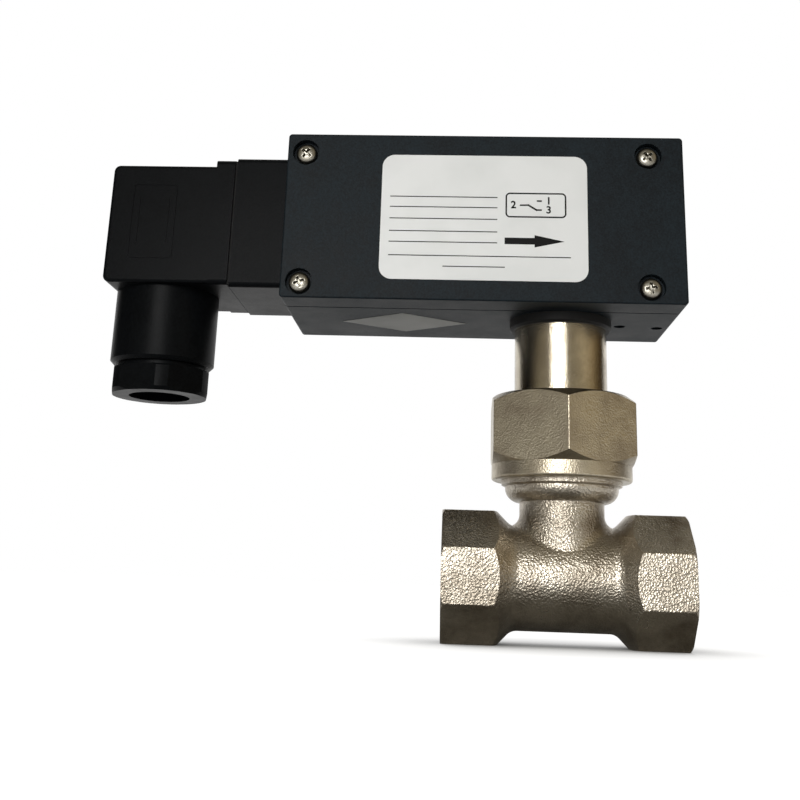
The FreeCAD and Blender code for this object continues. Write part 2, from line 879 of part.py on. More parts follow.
def make_switch_screws():
    """Two screws through the microswitch into the back cheek."""
    screws = []
    for x, z in switch_screw_places():
        head_y = switch_y0 - switch_screw_head_thick
        shank = rod(switch_screw_radius, (x, switch_y0, z), switch_thick + sheet + slot_depth, Y_AXIS)
        head = rod(switch_screw_head_radius, (x, head_y, z), switch_screw_head_thick, Y_AXIS)
        slot = block(
            (x - switch_screw_head_radius, x + switch_screw_head_radius), (head_y, head_y + slot_depth),
            (z - slot_half_width, z + slot_half_width)
        )
        screws.append(shank.fuse(head).cut(slot))
    return Part.makeCompound(screws)


def make_range_spring():
    """Compression spring between the lever's arm and the adjustable seat, of eight-sided wire."""
    height = spring_length - 2 * spring_wire
    low = spring_low + spring_wire
    helix = Part.makeHelix(height / spring_turns, height, spring_radius)
    helix.translate(Vector(spring_x, 0, low))
    start = Vector(spring_x + spring_radius, 0, low)
    section = Part.makePolygon([
        start + FreeCAD.Rotation(Y_AXIS, 45 * side).multVec(X_AXIS * spring_wire) for side in range(9)
    ])
    return Part.Wire(helix.Edges).makePipeShell([section], True, True)


def make_spring_seat():
    """Threaded block on the adjusting screw, kept from turning by the back cheek."""
    plate = block(
        (spring_x - seat_half_width, spring_x + seat_half_width),
        (-seat_half_width, cheek_inside - sliding), (spring_high, spring_high + seat_thick)
    )
    return plate.cut(rod(adjuster_radius + running, (spring_x, 0, spring_high), seat_thick))


def make_adjusting_screw():
    """Slotted screw that hangs in the frame's top tab and carries the spring seat."""
    shank = rod(adjuster_radius, (spring_x, 0, frame_top - adjuster_length), adjuster_length + turning)
    head = rod(adjuster_head_radius, (spring_x, 0, frame_top + turning), adjuster_head_thick)
    head_top = frame_top + turning + adjuster_head_thick
    slot = block(
        (spring_x - adjuster_head_radius, spring_x + adjuster_head_radius),
        (-adjuster_slot_half, adjuster_slot_half), (head_top - adjuster_slot_depth, head_top)
    )
    return shank.fuse(head).cut(slot)


def make_adjuster_clip():
    """Ring on the adjusting screw under the top tab."""
    low = frame_top - sheet - turning - adjuster_clip_thick
    return tube(adjuster_clip_radius, adjuster_radius, (spring_x, 0, low), adjuster_clip_thick)


# ---------------------------------------------------------------- housing
def corner_boss_blank(x, z):
    """A screw boss that grows out of the nearest side walls, before it is cut to length."""
    side = housing_x0 if x < stem_x else housing_x1
    level = housing_bottom if z < connector_z else housing_top
    boss = rod(boss_radius, (x, shell_front, z), shell_back - shell_front, Y_AXIS)
    web = block(
        (x - boss_web_half, x + boss_web_half), (shell_front, shell_back), (min(z, level), max(z, level))
    )
    wing = block(
        (min(x, side), max(x, side)), (shell_front, shell_back), (z - boss_web_half, z + boss_web_half)
    )
    return boss.fuse(web).fuse(wing)


def make_housing_base():
    """Moulded box: four walls and a back, screw bosses, a hole for the stem and one for the connector."""
    outer = block((housing_x0, housing_x1), (shell_front, shell_back), (housing_bottom, housing_top))
    outer = outer.makeFillet(housing_edge, edges_along(outer, Y_AXIS))
    outer = outer.makeFillet(
        housing_edge, [edge for edge in outer.Edges if abs(edge.BoundBox.YMin - shell_back) < 1e-6]
    )
    inner = block(
        (housing_x0 + housing_wall, housing_x1 - housing_wall),
        (shell_front, shell_back - housing_wall), (floor_top, housing_top - housing_wall)
    )
    bosses = [corner_boss_blank(x, z).common(outer) for x, z in cover_screw_places]
    shell = joined([outer.cut(inner)] + bosses)
    holes = [
        rod(screw_shank_radius, (x, shell_front, z), screw_length, Y_AXIS) for x, z in cover_screw_places
    ]
    holes.append(rod(spigot_radius + screw_clearance, (stem_x, 0, housing_bottom), housing_wall))
    holes.append(rod(
        base_spigot_radius + screw_clearance, (housing_x0, 0, connector_z), housing_wall, X_AXIS
    ))
    for y, z in base_screw_places():
        holes.append(rod(base_screw_radius, (housing_x0, y, z), housing_wall, X_AXIS))
    for along, y in underside_hole_places:
        foot = (stem_x + along, y, housing_bottom)
        holes.append(rod(underside_hole_radius, foot, underside_hole_depth))
    return bored(shell, holes)


def make_cover_gasket():
    """Flat frame-shaped seal between the cover and the box, a little inside their outline."""
    inset = cover_gasket_inset
    far = inset + cover_gasket_width
    ends = (cover_back, shell_front)
    frame = block(
        (housing_x0 + inset, housing_x1 - inset), ends, (housing_bottom + inset, housing_top - inset)
    ).cut(block(
        (housing_x0 + far, housing_x1 - far), ends, (housing_bottom + far, housing_top - far)
    ))
    pads = [
        rod(boss_radius, (x, cover_back, z), cover_gasket_thick, Y_AXIS) for x, z in cover_screw_places
    ]
    bounds = block(
        (housing_x0 + inset, housing_x1 - inset), ends, (housing_bottom + inset, housing_top - inset)
    )
    gasket = joined([frame] + [pad.common(bounds) for pad in pads])
    return bored(gasket, [
        rod(screw_shank_radius + screw_clearance, (x, cover_back, z), cover_gasket_thick, Y_AXIS)
        for x, z in cover_screw_places
    ])


def make_housing_cover():
    """Deep moulded lid with rounded edges, four screw wells and bosses behind them."""
    lid = block((housing_x0, housing_x1), (cover_front, cover_back), (housing_bottom, housing_top))
    lid = lid.makeFillet(housing_edge, edges_along(lid, Y_AXIS))
    lid = lid.makeFillet(
        housing_edge / 2, [edge for edge in lid.Edges if abs(edge.BoundBox.YMax - cover_front) < 1e-6]
    )
    inner = block(
        (housing_x0 + housing_wall, housing_x1 - housing_wall), (cover_front + cover_wall, cover_back),
        (floor_top, housing_top - housing_wall)
    )
    pads = [
        rod(lid_pad_radius, (x, cover_front, z), cover_depth, Y_AXIS).common(lid)
        for x, z in cover_screw_places
    ]
    shell = joined([lid.cut(inner)] + pads)
    wells = [
        rod(screw_well_radius, (x, cover_front, z), screw_well_depth, Y_AXIS)
        for x, z in cover_screw_places
    ]
    holes = [
        rod(screw_shank_radius + screw_clearance, (x, cover_front, z), cover_depth, Y_AXIS)
        for x, z in cover_screw_places
    ]
    return bored(shell, wells + holes)


def make_cover_screws():
    """Four cross-head screws with domed heads, seated in the cover's wells."""
    screws = []
    for x, z in cover_screw_places:
        shank = rod(screw_shank_radius, (x, screw_seat, z), screw_length, Y_AXIS)
        face = outline(
            [
                (0, 0),
                (screw_head_radius, 0),
                (screw_head_radius, -screw_head_side * screw_head_rise),
                (
                    (screw_dome_out * screw_head_radius, -screw_dome_up * screw_head_rise),
                    (0, -screw_head_rise),
                ),
            ],
            lambda step: Vector(x + step[0], screw_seat + step[1], z),
        )
        head = face.revolve(Vector(x, 0, z), Y_AXIS, 360)
        crown = (x, screw_seat - screw_head_rise, z)
        recess = cross_recess(crown, Y_AXIS, screw_recess_half, screw_recess_arm, screw_recess_depth)
        screws.append(shank.fuse(head).cut(recess))
    return Part.makeCompound(screws)


# ---------------------------------------------------------------- connector base
def base_screw_places():
    """Where the connector base's four fixing screws enter the box's side, as (y, z)."""
    return [
        (y, connector_z + z)
        for y in (-base_screw_side, base_screw_side)
        for z in (-base_screw_rise, base_screw_rise)
    ]


def blade_places():
    """The centres of the four contact blades, as (y, z, True where the blade stands upright)."""
    return [
        (0, connector_z + blade_offset, False),
        (0, connector_z - blade_offset, False),
        (blade_offset, connector_z, True),
        (-blade_offset, connector_z, True),
    ]


def blade_block(y, z, upright, half_width, half_thick, ends):
    """A flat bar along X at a blade's place."""
    wide = (half_thick, half_width) if upright else (half_width, half_thick)
    return block(ends, (y - wide[0], y + wide[0]), (z - wide[1], z + wide[1]))


def make_din_base():
    """Square connector base with a spigot into the box, screw wells and a threaded centre."""
    body = block((base_x0, base_x1), (-base_half_width, base_half_width), (base_low, base_high))
    body = body.makeFillet(base_edge, edges_along(body, X_AXIS))
    spigot = rod(
        base_spigot_radius, (base_x1, 0, connector_z), base_gasket_thick + base_spigot_length, X_AXIS
    )
    base = body.fuse(spigot)
    bite = plug_screw_bite + plug_screw_spare
    holes = [rod(plug_screw_radius + running, (base_x0, 0, connector_z), bite, X_AXIS)]
    well_radius = base_screw_head_radius + screw_clearance
    well_depth = base_screw_sink + base_screw_head_thick
    for y, z in base_screw_places():
        holes.append(rod(base_screw_radius + screw_clearance, (base_x0, y, z), base_length, X_AXIS))
        holes.append(rod(well_radius, (base_x0, y, z), well_depth, X_AXIS))
    ends = (base_x0, base_x1 + base_gasket_thick + base_spigot_length)
    for y, z, upright in blade_places():
        holes.append(blade_block(y, z, upright, blade_half_width, blade_thick / 2, ends))
    return bored(base, holes)


def make_din_base_gasket():
    """Flat seal behind the connector base."""
    inset = base_gasket_inset
    gasket = block(
        (base_x1, housing_x0), (inset - base_half_width, base_half_width - inset),
        (base_low + inset, base_high - inset)
    )
    holes = [rod(base_spigot_radius, (base_x1, 0, connector_z), base_gasket_thick, X_AXIS)]
    for y, z in base_screw_places():
        holes.append(rod(base_screw_radius, (base_x1, y, z), base_gasket_thick, X_AXIS))
    ends = (base_x1, housing_x0)
    for y, z, upright in blade_places():
        holes.append(blade_block(y, z, upright, blade_half_width, blade_thick / 2, ends))
    return bored(gasket, holes)


def make_din_base_screws():
    """Four screws that hold the connector base to the box."""
    screws = []
    head_x = base_x0 + base_screw_sink
    shank_length = housing_x0 + housing_wall - head_x
    for y, z in base_screw_places():
        head = rod(base_screw_head_radius, (head_x, y, z), base_screw_head_thick, X_AXIS)
        shank = rod(base_screw_radius, (head_x, y, z), shank_length, X_AXIS)
        slot = block(
            (head_x, head_x + slot_depth), (y - base_screw_head_radius, y + base_screw_head_radius),
            (z - slot_half_width, z + slot_half_width)
        )
        screws.append(shank.fuse(head).cut(slot))
    return Part.makeCompound(screws)


blade_x0 = base_x0 - blade_plug_length
blade_x1 = base_x1 + base_gasket_thick + base_spigot_length + blade_tail_length


def make_din_pins():
    """Four flat contact blades through the connector base."""
    blades = []
    for y, z, upright in blade_places():
        blade = blade_block(y, z, upright, blade_half_width, blade_thick / 2, (blade_x0, blade_x1))
        blades.append(blade)
    return Part.makeCompound(blades)


# ---------------------------------------------------------------- plug
def make_plug_gasket():
    """Thin profile seal on the plug's face."""
    frames = []
    for inset in (plug_gasket_inset, plug_gasket_inset + plug_gasket_width):
        frames.append(block(
            (plug_face_x, base_x0), (inset - base_half_width, base_half_width - inset),
            (base_low + inset, base_high - inset)
        ))
    return frames[0].cut(frames[1])


def make_plug_housing():
    """Right-angle plug shell: a flange, a square back and a round neck that takes the cable gland."""
    flange = block(
        (plug_face_x - plug_flange_length, plug_face_x), (-base_half_width, base_half_width),
        (base_low + plug_flange_shy, base_high - plug_flange_shy)
    )
    flange = flange.makeFillet(base_edge, edges_along(flange, X_AXIS))
    square = block(
        (plug_x0, plug_face_x), (-plug_half_width, plug_half_width), (plug_bottom, plug_top)
    )
    back_edges = edges_along(square, Y_AXIS, lambda centre: centre.x < gland_x)
    square = square.makeFillet(plug_edge, back_edges)
    square = square.makeFillet(plug_side_edge, edges_along(square, X_AXIS))
    neck_foot = (gland_x, 0, gland_neck_bottom)
    neck = rod(gland_neck_radius, neck_foot, connector_z - gland_neck_bottom)
    neck = neck.makeChamfer(plug_side_edge, edges_round(neck, neck_foot, gland_neck_radius))
    cavity_low = plug_bottom + plug_wall
    cavity = block(
        (plug_inside_x0, plug_face_x), (plug_wall - plug_half_width, plug_half_width - plug_wall),
        (cavity_low, plug_top - plug_wall)
    )
    boss = rod(plug_boss_radius, (plug_x0, 0, connector_z), plug_boss_x1 - plug_x0, X_AXIS)
    shell = joined([joined([flange, square, neck]).cut(cavity), boss])
    screw_line = (plug_x0, 0, connector_z)
    return bored(shell, [
        rod(gland_bore_radius + turning, neck_foot, gland_bore_top - gland_neck_bottom),
        rod(gland_passage_radius, neck_foot, cavity_low + overlap - gland_neck_bottom),
        rod(plug_screw_radius + screw_clearance, screw_line, plug_boss_x1 - plug_x0, X_AXIS),
        rod(plug_screw_head_radius + screw_clearance, screw_line, plug_screw_seat - plug_x0, X_AXIS),
    ])


plug_boss_radius = plug_screw_head_radius + screw_clearance + plug_screw_boss_wall
insert_x1 = plug_face_x - sliding
insert_x0 = insert_x1 - insert_depth
socket_x0 = insert_x1 - socket_length - socket_inset
insert_half_width = plug_half_width - plug_wall - insert_gap
insert_half_height = plug_top - plug_wall - sliding - connector_z


def make_plug_insert():
    """Terminal block inside the plug, with four contact chambers and a centre hole."""
    insert = block(
        (insert_x0, insert_x1), (-insert_half_width, insert_half_width),
        (connector_z - insert_half_height, connector_z + insert_half_height)
    )
    insert = insert.makeFillet(insert_edge, edges_along(insert, X_AXIS))
    carrier = block(
        (plug_boss_x1, insert_x0), (-insert_carrier_half, insert_carrier_half),
        (connector_z - insert_carrier_half, connector_z + insert_carrier_half)
    )
    screw_line = (plug_boss_x1, 0, connector_z)
    holes = [rod(plug_screw_radius + screw_clearance, screw_line, plug_length, X_AXIS)]
    ends = (socket_x0, insert_x1)
    for y, z, upright in blade_places():
        holes.append(blade_block(y, z, upright, socket_half_width, socket_half_thick, ends))
        holes.append(rod(socket_screw_radius, (insert_x0, y, z), insert_depth, X_AXIS))
    return bored(joined([insert, carrier]), holes)


def make_plug_sockets():
    """Four sprung contacts that grip the blades."""
    sockets = []
    mouth = insert_x1 - socket_inset
    slot_half_wide = blade_half_width + socket_gap
    slot_half_thin = blade_thick / 2 + socket_gap
    for y, z, upright in blade_places():
        ends = (socket_x0, mouth)
        body = blade_block(y, z, upright, socket_half_width, socket_half_thick, ends)
        ends = (socket_x0 + socket_back, mouth)
        sockets.append(body.cut(blade_block(y, z, upright, slot_half_wide, slot_half_thin, ends)))
    return Part.makeCompound(sockets)


def make_socket_screws():
    """Four small clamping screws in the back of the contacts."""
    screws = []
    head_x = insert_x0 - socket_screw_rise
    for y, z, upright in blade_places():
        shank = rod(socket_screw_radius, (head_x, y, z), socket_x0 - head_x, X_AXIS)
        slot = block(
            (head_x, head_x + slot_depth), (y - socket_screw_radius, y + socket_screw_radius),
            (z - slot_half_width, z + slot_half_width)
        )
        screws.append(shank.cut(slot))
    return Part.makeCompound(screws)


def make_plug_screw():
    """Long central screw with its head in the plug's back."""
    head = rod(plug_screw_head_radius, (screw_head_x, 0, connector_z), plug_screw_head_thick, X_AXIS)
    crown = (screw_head_x, 0, connector_z)
    head = head.makeFillet(plug_screw_edge, edges_round(head, crown, plug_screw_head_radius))
    shank_length = base_x0 + plug_screw_bite - screw_under_head
    shank = rod(plug_screw_radius, (screw_under_head, 0, connector_z), shank_length, X_AXIS)
    recess = cross_recess(crown, X_AXIS, plug_recess_half, plug_recess_arm, plug_recess_depth)
    return shank.fuse(head).cut(recess)


def make_plug_screw_seal():
    """Rubber washer under the central screw's head."""
    return tube(
        plug_screw_head_radius, plug_screw_radius + running,
        (screw_under_head + turning, 0, connector_z), plug_screw_seal_thick - turning, X_AXIS
    )


# ---------------------------------------------------------------- cable gland
def make_gland_nut():
    """Gland screw: hexagon with rounded corners, a collar, and a spigot that enters the neck."""
    hexagon = prism(6, gland_flats, (gland_x, 0, gland_mouth), gland_hex_height, Z_AXIS, gland_turn)
    rounding = turned([
        (0, gland_mouth),
        (gland_corner_radius - gland_edge, gland_mouth),
        (gland_corner_radius, gland_mouth + gland_edge),
        (gland_corner_radius, gland_hex_top - gland_edge / 2),
        (gland_corner_radius - gland_edge / 2, gland_hex_top),
        (0, gland_hex_top),
    ], gland_x)
    collar = rod(gland_collar_radius, (gland_x, 0, gland_hex_top), gland_collar_height - turning)
    spigot = rod(gland_bore_radius, (gland_x, 0, gland_hex_top), gland_spigot_top - gland_hex_top)
    nut = joined([hexagon.common(rounding), collar, spigot])
    return nut.cut(rod(gland_mouth_radius, (gland_x, 0, gland_mouth), gland_spigot_top - gland_mouth))


def make_gland_washer():
    """Slip ring between the gland screw and the rubber seal."""
    foot = (gland_x, 0, gland_spigot_top + turning)
    return tube(gland_bore_radius - sliding, gland_washer_bore, foot, gland_washer_thick)


def make_gland_seal():
    """Rubber ring that closes on the cable."""
    radius = gland_bore_radius - sliding
    return turned([
        (cable_radius, washer_top),
        (radius, washer_top),
        (radius, seal_top - gland_seal_chamfer),
        (radius - gland_seal_chamfer, seal_top),
        (cable_radius, seal_top),
    ], gland_x)


# ---------------------------------------------------------------- leads inside the box
def make_wire(tag_height, blade, bend_y):
    """A lead from a microswitch tag to a contact blade."""
    y, z, _ = blade
    return wire_along([
        (terminal_tip, switch_middle_y, tag_height),
        (terminal_tip - wire_lead_out, switch_middle_y, tag_height),
        (blade_x1 + wire_bend_reach, bend_y, (tag_height + z) / 2),
        (blade_x1 + wire_lead_out, y, z),
        (blade_x1, y, z),
    ])


def make_wire_earth(blade):
    """The earth lead, from the frame's tab to its blade."""
    y, z, _ = blade
    tab_x = stem_x - frame_half_length
    tab_z = earth_tab_top - 2 * wire_radius - earth_tab_margin
    return wire_along([
        (tab_x, earth_tab_y, tab_z),
        (tab_x - wire_lead_out, earth_tab_y, tab_z),
        (blade_x1 + wire_bend_reach, (y + earth_tab_y) / 2, (tab_z + z) / 2),
        (blade_x1 + wire_lead_out, y, z),
        (blade_x1, y, z),
    ])


blades = blade_places()
parts = {
    "tee_body": make_tee(),
    "union_nut": make_union_nut(),
    "union_gasket": make_union_gasket(),
    "stem_tube": make_stem_tube(),
    "stem_seal": make_stem_seal(),
    "lock_nut": make_lock_nut(),
    "bellows": make_bellows(),
    "bellows_flange": make_bellows_flange(),
    "bellows_cap": make_bellows_cap(),
    "lever_rod": make_lever_rod(),
    "paddle": make_paddle(),
    "paddle_rivets": make_paddle_rivets(),
    "switch_lever": make_switch_lever(),
    "pivot_pin": make_pivot_pin(),
    "pin_clip": make_pin_clip(),
    "pivot_spacers": make_pivot_spacers(),
    "mechanism_frame": make_mechanism_frame(),
    "microswitch_case": make_microswitch_case(),
    "microswitch_terminals": make_microswitch_terminals(),
    "microswitch_plunger": make_microswitch_plunger(),
    "switch_screws": make_switch_screws(),
    "range_spring": make_range_spring(),
    "spring_seat": make_spring_seat(),
    "adjusting_screw": make_adjusting_screw(),
    "adjuster_clip": make_adjuster_clip(),
    "housing_base": make_housing_base(),
    "cover_gasket": make_cover_gasket(),
    "housing_cover": make_housing_cover(),
    "cover_screws": make_cover_screws(),
    "din_base": make_din_base(),
    "din_base_gasket": make_din_base_gasket(),
    "din_base_screws": make_din_base_screws(),
    "din_pins": make_din_pins(),
    "plug_gasket": make_plug_gasket(),
    "plug_housing": make_plug_housing(),
    "plug_insert": make_plug_insert(),
    "plug_sockets": make_plug_sockets(),
    "socket_screws": make_socket_screws(),
    "plug_screw": make_plug_screw(),
    "plug_screw_seal": make_plug_screw_seal(),
    "gland_nut": make_gland_nut(),
    "gland_washer": make_gland_washer(),
    "gland_seal": make_gland_seal(),
    "wire_open": make_wire(terminal_heights[2], blades[0], wire_open_bow),
    "wire_closed": make_wire(terminal_heights[1], blades[2], wire_closed_bow),
    "wire_common": make_wire(terminal_heights[0], blades[1], wire_common_bow),
    "wire_earth": make_wire_earth(blades[3]),
}

os.makedirs("parts", exist_ok=True)
for name, shape in parts.items():
    shape.exportStep(os.path.join("parts", name + ".step"))
    state = "valid" if shape.isValid() else "INVALID"
    print(name, len(shape.Solids), "solids", round(shape.Volume, 1), "mm3", state)
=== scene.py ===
"""Paddle flow switch on a threaded tee: finishes, printed film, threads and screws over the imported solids."""
import logging
import math
from dataclasses import dataclass, field
from enum import Enum
from typing import Any, Callable, Iterable

import bpy
from mathutils import Matrix, Vector


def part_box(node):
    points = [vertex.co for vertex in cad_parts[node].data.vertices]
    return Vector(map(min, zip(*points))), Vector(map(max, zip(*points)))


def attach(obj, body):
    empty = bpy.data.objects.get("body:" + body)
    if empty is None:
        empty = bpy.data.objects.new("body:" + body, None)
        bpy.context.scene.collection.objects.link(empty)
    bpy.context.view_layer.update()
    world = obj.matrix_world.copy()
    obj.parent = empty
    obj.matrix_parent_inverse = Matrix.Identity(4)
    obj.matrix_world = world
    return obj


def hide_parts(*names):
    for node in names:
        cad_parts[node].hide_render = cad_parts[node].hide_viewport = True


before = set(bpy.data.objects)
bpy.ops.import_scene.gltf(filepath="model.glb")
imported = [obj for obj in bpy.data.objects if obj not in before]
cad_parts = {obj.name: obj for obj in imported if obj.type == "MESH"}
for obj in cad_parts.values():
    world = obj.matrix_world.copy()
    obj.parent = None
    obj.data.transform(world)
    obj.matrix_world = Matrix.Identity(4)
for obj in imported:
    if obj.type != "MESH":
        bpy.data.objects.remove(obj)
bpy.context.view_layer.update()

MM = 0.001
LOG = logging.getLogger("flow_switch")
SEEN_RAYS = ("Is Camera Ray", "Is Glossy Ray", "Is Transmission Ray")


# ---------------------------------------------------------------- colour and node helpers
def linear(colour: str) -> tuple[float, float, float, float]:
    """Turns an sRGB hex colour into linear values.

    Args:
        colour: Six hex digits after a hash.

    Returns:
        Red, green, blue and an alpha of 1.
    """
    channels = [int(colour[i:i + 2], 16) / 255 for i in (1, 3, 5)]
    straight = [c / 12.92 if c <= 0.04045 else ((c + 0.055) / 1.055) ** 2.4 for c in channels]
    return (straight[0], straight[1], straight[2], 1.0)


def per_mm(size: float) -> float:
    """The texture scale at which a pattern repeats about once in that many millimetres."""
    return 1 / (size * MM)


def add(tree: bpy.types.NodeTree, kind: str, settings: dict[str | int, Any] | None = None,
        links: dict[str | int, Any] | None = None) -> bpy.types.Node:
    """Adds one node with its settings and links.

    Args:
        tree: The tree that the node goes into.
        kind: The node's type name.
        settings: Properties of the node by name, or values of its inputs by name or number.
        links: Output sockets to link, by the name or number of this node's input.

    Returns:
        The new node.
    """
    node = tree.nodes.new(kind)
    for name, value in (settings or {}).items():
        if isinstance(name, int) or name in node.inputs:
            node.inputs[name].default_value = value
        else:
            setattr(node, name, value)
    for name, output in (links or {}).items():
        tree.links.new(output, node.inputs[name])
    return node


def ramp(tree: bpy.types.NodeTree, source: bpy.types.NodeSocket,
         stops: dict[float, Any]) -> bpy.types.NodeSocket:
    """Maps a value through colour stops.

    Args:
        tree: The tree that the ramp goes into.
        source: The value to map.
        stops: Linear colours, or grey values, by position.

    Returns:
        The ramp's colour output.
    """
    node = add(tree, "ShaderNodeValToRGB", links={"Fac": source})
    elements = node.color_ramp.elements
    while len(elements) < len(stops):
        elements.new(0.5)
    for element, (place, value) in zip(elements, sorted(stops.items())):
        element.position = place
        element.color = value if isinstance(value, tuple) else (value, value, value, 1.0)
    return node.outputs["Color"]


def any_of(tree: bpy.types.NodeTree, flags: list[bpy.types.NodeSocket]) -> bpy.types.NodeSocket:
    """The largest of several flags.

    Args:
        tree: The tree that the comparison goes into.
        flags: Outputs that are 0 or 1.

    Returns:
        An output that is 1 if any flag is.
    """
    found = flags[0]
    for flag in flags[1:]:
        found = add(tree, "ShaderNodeMath", {"operation": "MAXIMUM"}, {0: found, 1: flag}).outputs[0]
    return found


# ---------------------------------------------------------------- finishes
class Texture(Enum):
    """How a nickel-plated surface was made: the size of its grain in millimetres, and the grain's depth.

    The blasted surface's real pits are near 0.2 mm and are drawn about twice as coarse, so that they show.
    """

    FORGED = (0.5, 0.85)
    MILLED = (0.4, 0.38)
    TURNED = (0.35, 0.2)


@dataclass(frozen=True)
class Finish:
    """A surface finish. Each kind of finish fills in its own shader."""

    name: str

    def build(self) -> bpy.types.Material:
        """Makes the material and shades it.

        Returns:
            The new material.
        """
        material = bpy.data.materials.new(self.name)
        material.use_nodes = True
        tree = material.node_tree
        tree.nodes.clear()
        shader = add(tree, "ShaderNodeBsdfPrincipled")
        add(tree, "ShaderNodeOutputMaterial", links={"Surface": shader.outputs["BSDF"]})
        place = add(tree, "ShaderNodeTexCoord").outputs["Object"]
        self.shade(tree, shader, place)
        return material

    def shade(self, tree: bpy.types.NodeTree, shader: bpy.types.Node, place: bpy.types.NodeSocket) -> None:
        """Fills in the shader.

        Args:
            tree: The material's node tree.
            shader: Its Principled shader.
            place: Object coordinates, in metres.
        """
        raise NotImplementedError


@dataclass(frozen=True)
class MouldedPlastic(Finish):
    """Injection-moulded plastic with a spark-eroded grain and the faint bloom of handling.

    The real grain is near 0.1 mm, too fine to show, and is drawn a few times as coarse.
    """

    colour: str = "#0f1418"
    bloom: str = "#1c252b"
    roughness: float = 0.5
    grain_mm: float = 0.35
    grain_depth: float = 0.5
    specular: float = 0.11

    def shade(self, tree: bpy.types.NodeTree, shader: bpy.types.Node, place: bpy.types.NodeSocket) -> None:
        """Dark base with a soft bloom, fine grain in the bump and uneven gloss."""
        wear = add(tree, "ShaderNodeTexNoise", {"Scale": per_mm(14), "Detail": 9.0, "Roughness": 0.8},
                   {"Vector": place}).outputs["Fac"]
        grain = add(tree, "ShaderNodeTexNoise", {"Scale": per_mm(self.grain_mm), "Detail": 2.0},
                    {"Vector": place}).outputs["Fac"]
        waviness = add(tree, "ShaderNodeTexNoise", {"Scale": per_mm(9), "Detail": 1.0},
                       {"Vector": place}).outputs["Fac"]
        mottle = add(tree, "ShaderNodeMath", {"operation": "MULTIPLY_ADD", 1: 0.6}, {0: grain, 2: wear})
        tone = ramp(tree, mottle.outputs[0], {0.64: linear(self.colour), 0.96: linear(self.bloom)})
        gloss = ramp(tree, wear, {0.3: self.roughness - 0.06, 0.7: self.roughness + 0.08})
        broad = add(tree, "ShaderNodeBump", {"Strength": 0.25, "Distance": 0.08 * MM}, {"Height": waviness})
        fine = add(tree, "ShaderNodeBump", {"Strength": self.grain_depth, "Distance": 0.08 * MM},
                   {"Height": grain, "Normal": broad.outputs["Normal"]})
        tree.links.new(tone, shader.inputs["Base Color"])
        tree.links.new(gloss, shader.inputs["Roughness"])
        tree.links.new(fine.outputs["Normal"], shader.inputs["Normal"])
        shader.inputs["Specular IOR Level"].default_value = self.specular
        shader.inputs["IOR"].default_value = 1.5


@dataclass(frozen=True)
class NickelPlate(Finish):
    """Nickel plate over brass: warm grey, its grain that of the forged, milled or turned brass below.

    The rings from the tool follow a feed near 0.1 mm and are drawn at 0.35 mm, so that they show.
    """

    texture: Texture = Texture.FORGED
    colour: str = "#b5aea0"
    shadow: str = "#6d6253"
    roughness: float = 0.34

    def shade(self, tree: bpy.types.NodeTree, shader: bpy.types.Node, place: bpy.types.NodeSocket) -> None:
        """Warm metal whose tone drifts, with a bump for how the brass was made."""
        drift = add(tree, "ShaderNodeTexNoise", {"Scale": per_mm(9), "Detail": 6.0, "Roughness": 0.62},
                    {"Vector": place}).outputs["Fac"]
        grain_mm, depth = self.texture.value
        grain = add(tree, "ShaderNodeTexVoronoi",
                    {"Scale": per_mm(grain_mm), "Detail": 1.0, "Roughness": 0.4},
                    {"Vector": place}).outputs["Distance"]
        tone = ramp(tree, drift, {0.25: linear(self.shadow), 0.6: linear(self.colour)})
        speck = ramp(tree, grain, {0.1: linear(self.shadow), 0.4: linear("#ffffff")})
        colour = add(tree, "ShaderNodeMix",
                     {"data_type": "RGBA", "blend_type": "MULTIPLY", "Factor": depth * 0.5})
        tree.links.new(tone, colour.inputs["A"])
        tree.links.new(speck, colour.inputs["B"])
        gloss = ramp(tree, drift, {0.3: self.roughness + 0.08, 0.7: self.roughness - 0.04})
        bump = add(tree, "ShaderNodeBump", {"Strength": depth, "Distance": 0.12 * MM}, {"Height": grain})
        normal = bump.outputs["Normal"]
        if self.texture is not Texture.FORGED:
            stretched = add(tree, "ShaderNodeMapping", {"Scale": (0.03, 0.03, 1.0)}, {"Vector": place})
            rings = add(tree, "ShaderNodeTexNoise", {"Scale": per_mm(0.35), "Detail": 2.0},
                        {"Vector": stretched.outputs["Vector"]}).outputs["Fac"]
            turned = add(tree, "ShaderNodeBump", {"Strength": 0.12, "Distance": 0.01 * MM},
                         {"Height": rings, "Normal": normal})
            normal = turned.outputs["Normal"]
        tree.links.new(colour.outputs["Result"], shader.inputs["Base Color"])
        tree.links.new(gloss, shader.inputs["Roughness"])
        tree.links.new(normal, shader.inputs["Normal"])
        shader.inputs["Metallic"].default_value = 1.0


